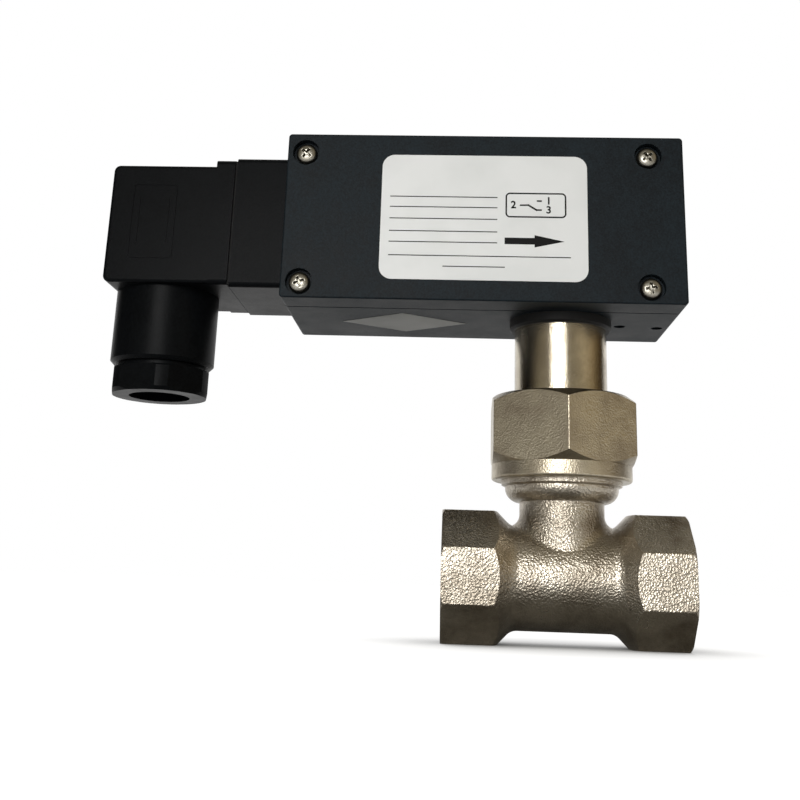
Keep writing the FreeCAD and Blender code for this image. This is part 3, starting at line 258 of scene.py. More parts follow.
@dataclass(frozen=True)
class BareMetal(Finish):
    """Drawn, pressed or turned metal with fine lines from its making, drawn at 0.25 mm so that they show."""

    colour: str = "#b9b7b2"
    roughness: float = 0.28

    def shade(self, tree: bpy.types.NodeTree, shader: bpy.types.Node, place: bpy.types.NodeSocket) -> None:
        """Metal with a slow drift of tone and fine tool lines."""
        drift = add(tree, "ShaderNodeTexNoise", {"Scale": per_mm(3), "Detail": 4.0},
                    {"Vector": place}).outputs["Fac"]
        base = linear(self.colour)
        dull = (base[0] * 0.7, base[1] * 0.68, base[2] * 0.64, 1.0)
        tone = ramp(tree, drift, {0.3: dull, 0.65: base})
        gloss = ramp(tree, drift, {0.3: self.roughness + 0.1, 0.7: self.roughness - 0.05})
        lines = add(tree, "ShaderNodeTexNoise", {"Scale": per_mm(0.25), "Detail": 2.0},
                    {"Vector": place}).outputs["Fac"]
        bump = add(tree, "ShaderNodeBump", {"Strength": 0.12, "Distance": 0.02 * MM}, {"Height": lines})
        tree.links.new(tone, shader.inputs["Base Color"])
        tree.links.new(gloss, shader.inputs["Roughness"])
        tree.links.new(bump.outputs["Normal"], shader.inputs["Normal"])
        shader.inputs["Metallic"].default_value = 1.0


@dataclass(frozen=True)
class NitrileRubber(Finish):
    """Moulded nitrile rubber: black, dull, with a dusty bloom."""

    colour: str = "#121212"

    def shade(self, tree: bpy.types.NodeTree, shader: bpy.types.Node, place: bpy.types.NodeSocket) -> None:
        """Dull black with dust in its low spots."""
        dust = add(tree, "ShaderNodeTexNoise", {"Scale": per_mm(2.5), "Detail": 5.0},
                   {"Vector": place}).outputs["Fac"]
        tone = ramp(tree, dust, {0.4: linear(self.colour), 0.8: linear("#1f1e1d")})
        gloss = ramp(tree, dust, {0.3: 0.55, 0.7: 0.72})
        bump = add(tree, "ShaderNodeBump", {"Strength": 0.2, "Distance": 0.03 * MM}, {"Height": dust})
        tree.links.new(tone, shader.inputs["Base Color"])
        tree.links.new(gloss, shader.inputs["Roughness"])
        tree.links.new(bump.outputs["Normal"], shader.inputs["Normal"])
        shader.inputs["Specular IOR Level"].default_value = 0.18
        shader.inputs["IOR"].default_value = 1.52


@dataclass(frozen=True)
class PrintedFilm(Finish):
    """Polyester label film or the ink on it: smooth, with a little unevenness from the adhesive below."""

    colour: str = "#eceff1"
    stain: str = "#dce0e1"
    roughness: float = 0.38
    specular: float = 0.4

    def shade(self, tree: bpy.types.NodeTree, shader: bpy.types.Node, place: bpy.types.NodeSocket) -> None:
        """Even tone with a faint stain and a soft, slightly rippled gloss."""
        stain = add(tree, "ShaderNodeTexNoise", {"Scale": per_mm(18), "Detail": 4.0},
                    {"Vector": place}).outputs["Fac"]
        fibre = add(tree, "ShaderNodeTexNoise", {"Scale": per_mm(0.5), "Detail": 2.0},
                    {"Vector": place}).outputs["Fac"]
        tone = ramp(tree, stain, {0.42: linear(self.colour), 0.85: linear(self.stain)})
        gloss = ramp(tree, stain, {0.3: self.roughness - 0.04, 0.7: self.roughness + 0.06})
        bump = add(tree, "ShaderNodeBump", {"Strength": 0.08, "Distance": 0.02 * MM}, {"Height": fibre})
        tree.links.new(tone, shader.inputs["Base Color"])
        tree.links.new(gloss, shader.inputs["Roughness"])
        tree.links.new(bump.outputs["Normal"], shader.inputs["Normal"])
        shader.inputs["Specular IOR Level"].default_value = self.specular


@dataclass(frozen=True)
class StudioFloor(Finish):
    """Matt pale paper that glows white to the camera and in reflections, its glow darkened close to what stands
    on it as painted shade.

    To the camera the glow darkens within contact of the part as a painted contact shadow, and in reflections it
    darkens within reach of it, by falloff, as painted shade.
    """

    # How far the painted contact shadow and the painted shade in reflections reach, and how steeply that shade
    # falls off.
    contact: float = 30 * MM
    painted_reflection_shade_reach: float = 300 * MM
    falloff: float = 11.0

    def shade(self, tree: bpy.types.NodeTree, shader: bpy.types.Node, place: bpy.types.NodeSocket) -> None:
        """A white glow to the camera and in reflections, darkened by ambient occlusion as painted shade; plain
        pale paper to the light.
        """
        path = add(tree, "ShaderNodeLightPath")
        # Painted contact shadow: ambient occlusion darkens the white glow that the camera sees near the part.
        near = add(tree, "ShaderNodeAmbientOcclusion", {"Distance": self.contact, "samples": 8})
        # Painted shade in reflections: wide ambient occlusion, raised to a power, darkens the glow that the
        # metal mirrors.
        reflection_shade_ao = add(tree, "ShaderNodeAmbientOcclusion", {"Distance": self.painted_reflection_shade_reach, "samples": 8})
        painted_reflection_shade = add(tree, "ShaderNodeMath", {"operation": "POWER", 1: self.falloff}, {0: reflection_shade_ao.outputs["AO"]})
        mirrored = any_of(tree, [path.outputs[name] for name in SEEN_RAYS[1:]])
        glow_with_painted_shadow = add(tree, "ShaderNodeMath", {"operation": "MULTIPLY"},
                    {0: path.outputs[SEEN_RAYS[0]], 1: near.outputs["AO"]})
        strength = add(tree, "ShaderNodeMath", {"operation": "MULTIPLY_ADD"},
                       {0: mirrored, 1: painted_reflection_shade.outputs[0], 2: glow_with_painted_shadow.outputs[0]})
        shader.inputs["Base Color"].default_value = linear("#8c8c8a")
        shader.inputs["Roughness"].default_value = 0.9
        shader.inputs["Specular IOR Level"].default_value = 0.0
        shader.inputs["Emission Color"].default_value = linear("#ffffff")
        tree.links.new(strength.outputs[0], shader.inputs["Emission Strength"])


@dataclass(frozen=True)
class LitScreen(Finish):
    """Dim glowing screen round the bench, whose glow lights the part and shows in the metal: olive in front,
    pale to the right, dark brown at the sides.
    """

    tones: tuple[tuple[float, str], ...] = (
        (0.27, "#2a241c"), (0.35, "#8f8877"), (0.5, "#8f8877"), (0.6, "#a39a86"),
        (0.66, "#c4b79c"), (0.72, "#a08f70"), (0.78, "#5a4b33"), (0.85, "#3a3024"),
    )

    def shade(self, tree: bpy.types.NodeTree, shader: bpy.types.Node, place: bpy.types.NodeSocket) -> None:
        """Its own dim light, by the share of the way round: a half is in front, more is to the right."""
        part = add(tree, "ShaderNodeSeparateXYZ", links={"Vector": place})
        depth = add(tree, "ShaderNodeMath", {"operation": "MULTIPLY", 1: -1.0}, {0: part.outputs["Y"]})
        angle = add(tree, "ShaderNodeMath", {"operation": "ARCTAN2"},
                    {0: part.outputs["X"], 1: depth.outputs[0]})
        way_round = add(tree, "ShaderNodeMath", {"operation": "MULTIPLY_ADD", 1: 0.5 / math.pi, 2: 0.5},
                        {0: angle.outputs[0]})
        tone = ramp(tree, way_round.outputs[0], {share: linear(tint) for share, tint in self.tones})
        shader.inputs["Base Color"].default_value = linear("#000000")
        shader.inputs["Specular IOR Level"].default_value = 0.0
        tree.links.new(tone, shader.inputs["Emission Color"])
        shader.inputs["Emission Strength"].default_value = 1.0


# ---------------------------------------------------------------- modelling helpers
def fresh(make: Callable[..., Any], name: str, **places: Any) -> bpy.types.Object:
    """Adds one primitive with nothing else selected.

    Args:
        make: The operator that adds it.
        name: The new object's name.
        places: The operator's own settings.

    Returns:
        The new object, active and selected.
    """
    bpy.ops.object.select_all(action="DESELECT")
    make(**places)
    piece = bpy.context.active_object
    piece.name = name
    return piece


def pick(piece: bpy.types.Object, kind: str, test: Callable[[Vector], bool]) -> None:
    """Selects the faces, edges or vertices whose middle passes a test, and nothing else.

    Args:
        piece: The object, in edit mode. It is left in edit mode.
        kind: FACE, EDGE or VERT.
        test: Takes a middle point in the object's own coordinates.
    """
    bpy.ops.mesh.select_mode(type=kind)
    bpy.ops.mesh.select_all(action="DESELECT")
    bpy.ops.object.mode_set(mode="OBJECT")
    mesh = piece.data
    for vertex in mesh.vertices:
        vertex.select = kind == "VERT" and test(vertex.co)
    for edge in mesh.edges:
        middle = (mesh.vertices[edge.vertices[0]].co + mesh.vertices[edge.vertices[1]].co) / 2
        edge.select = kind == "EDGE" and test(middle)
    for face in mesh.polygons:
        face.select = kind == "FACE" and test(face.center)
    bpy.ops.object.mode_set(mode="EDIT")


def single_out(piece: bpy.types.Object) -> None:
    """Makes one object active and selected, and nothing else selected."""
    bpy.ops.object.select_all(action="DESELECT")
    piece.select_set(True)
    bpy.context.view_layer.objects.active = piece


def settle(piece: bpy.types.Object) -> bpy.types.Object:
    """Moves an object's place, turn and scale into its mesh."""
    single_out(piece)
    bpy.ops.object.transform_apply(location=True, rotation=True, scale=True)
    return piece


def apply_modifier(piece: bpy.types.Object, kind: str, **settings: Any) -> None:
    """Adds a modifier and applies it.

    Args:
        piece: The object to change.
        kind: The modifier's type.
        settings: Its settings.
    """
    single_out(piece)
    modifier = piece.modifiers.new(kind.lower(), kind)
    for name, value in settings.items():
        setattr(modifier, name, value)
    bpy.ops.object.modifier_apply(modifier=modifier.name)


def tidy_normals(piece: bpy.types.Object) -> None:
    """Merges doubles and turns all faces outwards."""
    single_out(piece)
    bpy.ops.object.mode_set(mode="EDIT")
    bpy.ops.mesh.select_all(action="SELECT")
    bpy.ops.mesh.remove_doubles(threshold=0.002 * MM)
    bpy.ops.mesh.normals_make_consistent(inside=False)
    bpy.ops.object.mode_set(mode="OBJECT")


def smooth(piece: bpy.types.Object, degrees: float = 35) -> None:
    """Shades an object smooth across edges flatter than an angle."""
    single_out(piece)
    bpy.ops.object.shade_smooth_by_angle(angle=math.radians(degrees))


def joined(name: str, pieces: list[bpy.types.Object]) -> bpy.types.Object:
    """Joins several objects into the first.

    Args:
        name: The joined object's name.
        pieces: The objects, all meshes.

    Returns:
        The joined object.
    """
    bpy.ops.object.select_all(action="DESELECT")
    for piece in pieces:
        piece.select_set(True)
    bpy.context.view_layer.objects.active = pieces[0]
    bpy.ops.object.join()
    pieces[0].name = name
    return pieces[0]


def rounded_ring(name: str, middle: Vector, facing: tuple[float, float, float],
                 size: tuple[float, float], corner: float, line: float, steps: int) -> bpy.types.Object:
    """A flat rounded rectangle drawn as a line.

    Args:
        name: The object's name.
        middle: Where its middle goes.
        facing: How it is turned from lying face up.
        size: Its outer width and height.
        corner: The radius of its outer corners.
        line: The line's width.
        steps: How many edges go round each corner.

    Returns:
        The flat ring.
    """
    ring = fresh(bpy.ops.mesh.primitive_plane_add, name, size=1, location=middle, rotation=facing)
    ring.scale = (*size, 1)
    settle(ring)
    bpy.ops.object.mode_set(mode="EDIT")
    bpy.ops.mesh.select_all(action="SELECT")
    bpy.ops.mesh.bevel(offset=corner, segments=steps, affect="VERTICES")
    bpy.ops.mesh.select_mode(type="FACE")
    bpy.ops.mesh.select_all(action="SELECT")
    bpy.ops.mesh.inset(thickness=line)
    bpy.ops.mesh.delete(type="FACE")
    bpy.ops.object.mode_set(mode="OBJECT")
    return ring


def hand_over(piece: bpy.types.Object, finish: bpy.types.Material, body: str) -> None:
    """Gives a finished piece its material, body and slot, and logs it.

    Args:
        piece: The finished piece.
        finish: Its material.
        body: The CAD body that it rides on.
    """
    piece.data.materials.clear()
    piece.data.materials.append(finish)
    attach(piece, body)
    LOG.info("%s: %d faces on %s", piece.name, len(piece.data.polygons), body)


# ---------------------------------------------------------------- printed film on the box
@dataclass
class PrintedPlate:
    """The label on the cover: rounded film, a blank form, a contact diagram and a flow arrow.

    The arrow's and the diagram's places are in millimetres from the label's centre.
    """

    width: float = 45.3 * MM
    height: float = 28.9 * MM
    corner: float = 2.8 * MM
    thick: float = 0.1 * MM
    ink: float = 0.015 * MM
    from_right: float = 43.8 * MM
    drop: float = 0.2 * MM
    digit_size: float = 2.375 * MM
    digit_weight: float = 0.06 * MM
    arrow_tail: float = 4.6
    arrow_neck: float = 11.1
    arrow_level: float = -5.4
    arrow_shaft: float = 1.5
    arrow_head: tuple[float, float] = (6.5, 2.8)
    rule_line: float = 0.22
    front: float = field(init=False)
    centre: Vector = field(init=False)

    def __post_init__(self) -> None:
        """Places the label on the cover's face."""
        low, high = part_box("housing_cover")
        self.front = low.y
        self.centre = Vector((high.x - self.from_right, self.front, (low.z + high.z) / 2 - self.drop))

    def at(self, x: float, z: float) -> Vector:
        """A point on the film's face, in millimetres from the label's centre."""
        return Vector((self.centre.x + x * MM, self.front - self.thick, self.centre.z + z * MM))

    def film(self) -> bpy.types.Object:
        """The label's film, with rounded corners.

        Returns:
            The film as a thin solid.
        """
        film = fresh(bpy.ops.mesh.primitive_cube_add, "label_film", size=1, location=self.at(0, 0))
        film.scale = (self.width, self.thick, self.height)
        film.location.y += self.thick / 2
        settle(film)
        bpy.ops.object.mode_set(mode="EDIT")
        pick(film, "EDGE", lambda middle: abs(middle.y - self.front + self.thick / 2) < self.thick / 4)
        bpy.ops.mesh.bevel(offset=self.corner, segments=12, affect="EDGES")
        bpy.ops.object.mode_set(mode="OBJECT")
        smooth(film)
        return film

    def stroke(self, start: tuple[float, float], end: tuple[float, float],
               line: float) -> bpy.types.Object:
        """A straight printed line.

        Args:
            start: Its start, across and up the label, in millimetres.
            end: Its end, likewise.
            line: Its width, in millimetres.

        Returns:
            The flat line.
        """
        run, rise = end[0] - start[0], end[1] - start[1]
        stroke = fresh(bpy.ops.mesh.primitive_plane_add, "printed_line", size=1,
                       location=self.at((start[0] + end[0]) / 2, (start[1] + end[1]) / 2),
                       rotation=(math.pi / 2, -math.atan2(rise, run), 0))
        stroke.scale = (math.hypot(run, rise) * MM, line * MM, 1)
        return settle(stroke)

    def arrow(self) -> bpy.types.Object:
        """The flow arrow: a thick bar with a long solid head, whose corners sit on a scaled circle."""
        length, height = self.arrow_head
        middle = self.at(self.arrow_neck + length / 3, self.arrow_level)
        head = fresh(bpy.ops.mesh.primitive_circle_add, "arrow_head", vertices=3, radius=1.0,
                     fill_type="NGON", location=middle, rotation=(math.pi / 2, 0, 0))
        settle(head)
        turn = Matrix.Rotation(math.radians(90), 4, "Y")
        shape = Matrix.Diagonal((length / 1.5 * MM, 1.0, height / math.sqrt(3) * MM, 1.0))
        head.data.transform(Matrix.Translation(middle) @ shape @ turn @ Matrix.Translation(-middle))
        shaft = self.stroke((self.arrow_tail, self.arrow_level), (self.arrow_neck, self.arrow_level),
                            self.arrow_shaft)
        return joined("flow_arrow", [head, shaft])

    def diagram(self) -> list[bpy.types.Object]:
        """The change-over contact's diagram in its frame, with the numbers of its three terminals."""
        pieces = [
            rounded_ring("contact_frame", self.at(11.4, 2.9), (math.pi / 2, 0, 0), (13.3 * MM, 5.8 * MM),
                         corner=1.0 * MM, line=0.34 * MM, steps=10),
            self.stroke((7.9, 2.9), (9.7, 2.9), 0.36),
            self.stroke((9.6, 3.0), (11.7, 1.7), 0.4),
            self.stroke((11.6, 1.8), (12.7, 1.8), 0.36),
            self.stroke((11.6, 3.9), (12.7, 3.9), 0.36),
        ]
        for digit, x, z in (("2", 6.5, 2.9), ("1", 14.2, 3.9), ("3", 14.2, 1.8)):
            pieces.append(self.digit(digit, x, z))
        return pieces

    def digit(self, text: str, x: float, z: float) -> bpy.types.Object:
        """One printed number, centred at a place on the label."""
        letter = fresh(bpy.ops.object.text_add, "digit_" + text, location=self.at(x, z),
                       rotation=(math.pi / 2, 0, 0))
        letter.data.body = text
        letter.data.size = self.digit_size
        letter.data.align_x = "CENTER"
        letter.data.align_y = "CENTER"
        letter.data.resolution_u = 4
        letter.data.offset = self.digit_weight
        bpy.ops.object.convert(target="MESH")
        return settle(bpy.context.active_object)

    def form(self) -> list[bpy.types.Object]:
        """Blank write-in rules: five short ones on the left, a long one and a short one below."""
        rules = [((-20.7, level), (3.0, level)) for level in (4.6, 2.2, -0.5, -3.4, -5.9)]
        rules += [((-20.7, -9.0), (18.9, -9.0)), ((-8.8, -11.4), (4.7, -11.4))]
        return [self.stroke(start, end, self.rule_line) for start, end in rules]

    def printing(self) -> bpy.types.Object:
        """All the ink on the label, raised by its own thickness.

        Returns:
            The ink as one piece.
        """
        ink = joined("label_print", [self.arrow(), *self.diagram(), *self.form()])
        apply_modifier(ink, "SOLIDIFY", thickness=self.ink, offset=1.0)
        return ink

    def build(self, film: bpy.types.Material, ink: bpy.types.Material) -> None:
        """Makes the label and its print, and puts both on the switch's head."""
        hand_over(self.film(), film, "switch_head")
        hand_over(self.printing(), ink, "switch_head")


@dataclass
class UndersideMark:
    """A bare rhombic foil on the box's underside."""

    half_length: float = 14.4 * MM
    half_width: float = 9.0 * MM
    thick: float = 0.08 * MM
    from_stem: float = 36.1 * MM
    back: float = 2.5 * MM

    def build(self, foil: bpy.types.Material) -> None:
        """Makes the foil from a four-sided disc and puts it on the underside.

        Args:
            foil: Its material.
        """
        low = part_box("housing_base")[0]
        stem = (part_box("stem_tube")[0].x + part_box("stem_tube")[1].x) / 2
        mark = fresh(bpy.ops.mesh.primitive_cylinder_add, "underside_mark", vertices=4, radius=1.0,
                     depth=self.thick, location=(stem - self.from_stem, self.back, low.z - self.thick / 2))
        mark.scale = (self.half_length, self.half_width, 1)
        settle(mark)
        hand_over(mark, foil, "switch_head")


# ---------------------------------------------------------------- screws and threads
@dataclass
class CoverScrews:
    """The four cross-head screws in the cover's wells, each stopped at its own angle.

    The dome rises in steps, each given as a share of its height; the less a step rises, the more it narrows.
    """

    head_radius: float = 2.35 * MM
    head_rise: float = 1.7 * MM
    shank_radius: float = 1.25 * MM
    recess_length: float = 3.2 * MM
    recess_width: float = 0.72 * MM
    recess_depth: float = 1.25 * MM
    recess_taper: float = 0.6
    side_share: float = 0.45
    dome: tuple[float, ...] = (0.55, 0.3, 0.15)
    dome_fall: float = 0.072
    shank_length: float = 8 * MM
    shank_point: float = 0.4 * MM
    edge_break: float = 0.08 * MM
    turns: tuple[float, ...] = (20.0, 52.0, 8.0, 38.0)

    def head(self) -> bpy.types.Object:
        """One screw at the origin, its head up: a domed cheese head with a cross recess, over its shank.

        Returns:
            The screw.
        """
        side = self.side_share * self.head_rise
        head = fresh(bpy.ops.mesh.primitive_cylinder_add, "cover_screw", vertices=48, radius=self.head_radius,
                     depth=side, location=(0, 0, side / 2))
        settle(head)
        bpy.ops.object.mode_set(mode="EDIT")
        pick(head, "FACE", lambda middle: middle.z > side * 0.9)
        for share in self.dome:
            step = share * (self.head_rise - side)
            bpy.ops.mesh.extrude_region_move(TRANSFORM_OT_translate={"value": (0, 0, step)})
            narrow = 1 - self.dome_fall / share
            bpy.ops.transform.resize(value=(narrow, narrow, 1))
        bpy.ops.object.mode_set(mode="OBJECT")
        cutters = []
        for turn in (0, math.pi / 2):
            arm = fresh(bpy.ops.mesh.primitive_cube_add, "arm", size=1, rotation=(0, 0, turn),
                        location=(0, 0, self.head_rise))
            arm.scale = (self.recess_length, self.recess_width, 2 * self.recess_depth)
            settle(arm)
            bpy.ops.object.mode_set(mode="EDIT")
            pick(arm, "FACE", lambda middle: middle.z < self.head_rise - 0.9 * self.recess_depth)
            bpy.ops.transform.resize(value=(self.recess_taper, self.recess_taper, 1))
            bpy.ops.object.mode_set(mode="OBJECT")
            cutters.append(arm)
        for arm in cutters:
            apply_modifier(head, "BOOLEAN", object=arm, operation="DIFFERENCE", solver="EXACT")
            bpy.data.objects.remove(arm)
        apply_modifier(head, "BEVEL", width=self.edge_break, segments=2, limit_method="ANGLE",
                       angle_limit=math.radians(40))
        shank = fresh(bpy.ops.mesh.primitive_cylinder_add, "shank", vertices=24, radius=self.shank_radius,
                      depth=self.shank_length, location=(0, 0, -self.shank_length / 2))
        settle(shank)
        bpy.ops.object.mode_set(mode="EDIT")
        pick(shank, "FACE", lambda middle: middle.z < -0.99 * self.shank_length)
        bpy.ops.mesh.bevel(offset=self.shank_point, segments=1, affect="EDGES")
        bpy.ops.object.mode_set(mode="OBJECT")
        screw = joined("cover_screw", [head, shank])
        smooth(screw)
        return screw

    def build(self, steel: bpy.types.Material) -> None:
        """Copies the screw into the four wells.

        Args:
            steel: The screws' plating.
        """
        first = self.head()
        low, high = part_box("cover_screws")
        seat = low.y + self.head_rise
        places = [
            Vector((x, seat, z))
            for x in (low.x + self.head_radius, high.x - self.head_radius)
            for z in (low.z + self.head_radius, high.z - self.head_radius)
        ]
        lying = Matrix.Rotation(math.pi / 2, 4, "X")
        for number, (place, turn) in enumerate(zip(places, self.turns), start=1):
            screw = first.copy()
            screw.data = first.data.copy()
            bpy.context.scene.collection.objects.link(screw)
            screw.name = f"cover_screw_{number}"
            spin = Matrix.Rotation(math.radians(turn), 4, "Z")
            screw.data.transform(Matrix.Translation(place) @ lying @ spin)
            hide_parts("cover_screws")
            hand_over(screw, steel, "switch_head")
        bpy.data.objects.remove(first)


@dataclass
class Thread:
    """A V-shaped thread ridge wound on a cylinder."""

    name: str
    radius: float
    rise: float
    pitch: float
    turns: float
    start: Vector
    along: Vector
    steps: int = 64
    flank: float = 0.62

    def ridge(self) -> bpy.types.Object:
        """The ridge about the Z axis from the origin up. A negative rise points inwards.

        Returns:
            The closed ridge.
        """
        half = abs(self.rise) * self.flank
        profile = fresh(bpy.ops.mesh.primitive_circle_add, self.name, vertices=3, radius=1.0)
        corners = (
            (self.radius, 0, -half),
            (self.radius + self.rise, 0, 0),
            (self.radius, 0, half),
        )
        for vertex, corner in zip(profile.data.vertices, corners):
            vertex.co = corner
        steps = round(self.steps * self.turns)
        apply_modifier(profile, "SCREW", angle=2 * math.pi * self.turns, screw_offset=self.pitch * self.turns,
                       iterations=1, steps=steps, render_steps=steps, axis="Z", use_merge_vertices=False)
        bpy.ops.object.mode_set(mode="EDIT")
        bpy.ops.mesh.select_mode(type="EDGE")
        bpy.ops.mesh.select_all(action="DESELECT")
        bpy.ops.mesh.select_non_manifold(extend=False)
        bpy.ops.mesh.fill_holes(sides=0)
        bpy.ops.object.mode_set(mode="OBJECT")
        tidy_normals(profile)
        smooth(profile, 50)
        return profile

    def build(self, plate: bpy.types.Material) -> None:
        """Winds the ridge, lays it along its axis and puts it on the tee.

        Args:
            plate: The tee's plating.
        """
        ridge = self.ridge()
        turn = Vector((0, 0, 1)).rotation_difference(self.along).to_matrix().to_4x4()
        ridge.data.transform(Matrix.Translation(self.start) @ turn)
        hand_over(ridge, plate, "switch_head")


@dataclass
class TeeThreads:
    """The pipe threads in the tee's two ends and the branch thread that shows under the union nut."""

    pitch: float = 1.814 * MM
    depth: float = 0.32 * MM
    female_length: float = 10.4 * MM
    female_radius: float = 9.316 * MM
    branch_radius: float = 13.22 * MM
    branch_rise: float = 0.35 * MM
    branch_turns: float = 1.6
    branch_below_nut: float = 0.2 * MM

    def build(self, plate: bpy.types.Material) -> None:
        """Winds the three threads.

        Args:
            plate: The tee's plating.
        """
        low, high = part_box("tee_body")
        stem = (low.x + high.x) / 2
        turns = self.female_length / self.pitch
        mouth = 0.6 * self.pitch
        branch_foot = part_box("union_nut")[0].z
        Thread("inlet_thread", self.female_radius, -self.depth, self.pitch, turns,
               Vector((low.x + mouth, 0, 0)), Vector((1, 0, 0))).build(plate)
        Thread("outlet_thread", self.female_radius, -self.depth, self.pitch, turns,
               Vector((high.x - mouth, 0, 0)), Vector((-1, 0, 0))).build(plate)
        Thread("branch_thread", self.branch_radius, self.branch_rise, self.pitch / 2, self.branch_turns,
               Vector((stem, 0, branch_foot - self.branch_below_nut)), Vector((0, 0, 1))).build(plate)


@dataclass
class PlugFacing:
    """The shallow raised frame on each of the plug's two broad faces, with a rib down either side in it."""

    plug_half_width: float = 13.5 * MM
    width: float = 10.4 * MM
    height: float = 18.0 * MM
    corner: float = 0.9 * MM
    line: float = 0.45 * MM
    rise: float = 0.12 * MM
    clear: float = 0.02 * MM
    from_back: float = 10.2 * MM
    rib_height: float = 10.6 * MM
    rib_aside: float = 3.4 * MM

    def frame(self, name: str, side: float) -> bpy.types.Object:
        """One frame with its ribs on one face.

        Args:
            name: The object's name.
            side: -1 for the face towards the cover's side, 1 for the one behind.

        Returns:
            The frame as a thin solid.
        """
        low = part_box("plug_housing")[0]
        base_low, base_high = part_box("din_base")
        face = side * (self.plug_half_width + self.clear)
        middle = Vector((low.x + self.from_back, face, (base_low.z + base_high.z) / 2))
        facing = (-side * math.pi / 2, 0, 0)
        ring = rounded_ring(name, middle, facing, (self.width, self.height),
                            corner=self.corner, line=self.line, steps=5)
        parts = [ring]
        for aside in (-self.rib_aside, self.rib_aside):
            rib = fresh(bpy.ops.mesh.primitive_plane_add, "rib", size=1, rotation=facing,
                        location=middle + Vector((aside, 0, 0)))
            rib.scale = (self.line, self.rib_height, 1)
            parts.append(settle(rib))
        frames = joined(name, parts)
        apply_modifier(frames, "SOLIDIFY", thickness=self.rise, offset=1.0)
        return frames

    def build(self, plastic: bpy.types.Material) -> None:
        """Puts a frame on each broad face.

        Args:
            plastic: The plug's plastic.
        """
        for name, side in (("plug_frame_front", -1), ("plug_frame_back", 1)):
            hand_over(self.frame(name, side), plastic, "plug")


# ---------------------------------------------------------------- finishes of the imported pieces
@dataclass
class Wardrobe:
    """The finishes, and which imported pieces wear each."""

    finishes: dict[str, bpy.types.Material] = field(default_factory=dict)
    worn: dict[str, tuple[str, ...]] = field(default_factory=lambda: {
        "forged_nickel": ("tee_body",),
        "milled_nickel": ("union_nut",),
        "turned_nickel": ("stem_tube",),
        "box_abs": ("housing_base", "housing_cover"),
        "plug_nylon": ("din_base", "plug_housing", "gland_nut"),
        "insert_nylon": ("plug_insert",),
        "rubber": ("union_gasket", "stem_seal", "cover_gasket", "din_base_gasket", "plug_gasket",
                   "plug_screw_seal", "gland_seal"),
        "steel": ("lock_nut", "lever_rod", "paddle", "paddle_rivets", "pivot_pin", "pin_clip",
                  "mechanism_frame", "switch_screws", "range_spring", "adjusting_screw", "adjuster_clip",
                  "cover_screws", "din_base_screws", "socket_screws", "plug_screw", "gland_washer"),
        "brass": ("bellows", "bellows_flange", "bellows_cap", "switch_lever", "pivot_spacers", "spring_seat",
                  "microswitch_terminals", "din_pins", "plug_sockets"),
        "thermoset": ("microswitch_case", "microswitch_plunger"),
        "brown_pvc": ("wire_open",),
        "blue_pvc": ("wire_closed",),
        "black_pvc": ("wire_common",),
        "green_pvc": ("wire_earth",),
    })

    def make(self) -> None:
        """Makes every finish of the object."""
        kinds: Iterable[Finish] = (
            # Shot-blasted forging under nickel: sparkling grain, warm grey.
            NickelPlate("forged_nickel", Texture.FORGED, "#c3bbad", "#7a6f60", 0.3),
            # Milled flats under nickel: finer grain, a little duller.
            NickelPlate("milled_nickel", Texture.MILLED, "#beb5a1", "#8a7e6d", 0.3),
            # Turned and polished bar under nickel: bright, with rings from the tool.
            NickelPlate("turned_nickel", Texture.TURNED, "#c4bba9", "#9a8f7c", 0.15),
            # ABS from an eroded mould: fine grain and a soft sheen.
            MouldedPlastic("box_abs"),
            # Glass-filled nylon: a little smoother and deeper black.
            MouldedPlastic("plug_nylon", "#07080a", "#0e1012", 0.34, 0.5, 0.2, 0.045),
            # Unfilled nylon inside the plug: a little lighter than its housing.
            MouldedPlastic("insert_nylon", "#1c1e20", "#2c2f31", 0.5, 0.5, 0.2, 0.32),
            # Compression-moulded phenolic: dull dark grey.
            MouldedPlastic("thermoset", "#2b2c2f", "#3b3c3f", 0.5, 0.4, 0.2, 0.35),
            # Soft PVC insulation: smooth and slightly glossy.
            MouldedPlastic("brown_pvc", "#55301f", "#684031", 0.32, 1.2, 0.08, 0.45),
            MouldedPlastic("blue_pvc", "#1f4f86", "#31639c", 0.32, 1.2, 0.08, 0.45),
            MouldedPlastic("black_pvc", "#1b1b1c", "#2b2b2c", 0.32, 1.2, 0.08, 0.45),
            MouldedPlastic("green_pvc", "#7f9a2a", "#97b03c", 0.32, 1.2, 0.08, 0.45),
            # Moulded nitrile: dull black with dust on it.
            NitrileRubber("rubber"),
            # Pressed and drawn steel: plain grey with fine lines.
            BareMetal("steel", "#b4b2ac", 0.3),
            # Headed screws under nickel: a warmer, darker grey than the pressed steel.
            BareMetal("screw_nickel", "#99968d", 0.32),
            # Stamped and turned brass: yellow and fairly bright.
            BareMetal("brass", "#b8934c", 0.3),
            # Polyester film: even white with a soft gloss.
            PrintedFilm("label_film"),
            # Printed ink: matt black.
            PrintedFilm("label_ink", "#0b0b0c", "#121213", 0.5, 0.1),
            # Matt silver-grey foil: plain mid grey.
            PrintedFilm("mark_foil", "#a4a6a3", "#8c8e8b", 0.45),
        )
        for kind in kinds:
            self.finishes[kind.name] = kind.build()

    def dress(self) -> None:
        """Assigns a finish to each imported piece's own material slots."""
        for finish, nodes in self.worn.items():
            for node in nodes:
                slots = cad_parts[node].material_slots
                for slot in slots:
                    slot.material = self.finishes[finish]
                LOG.info("%s wears %s", node, finish)


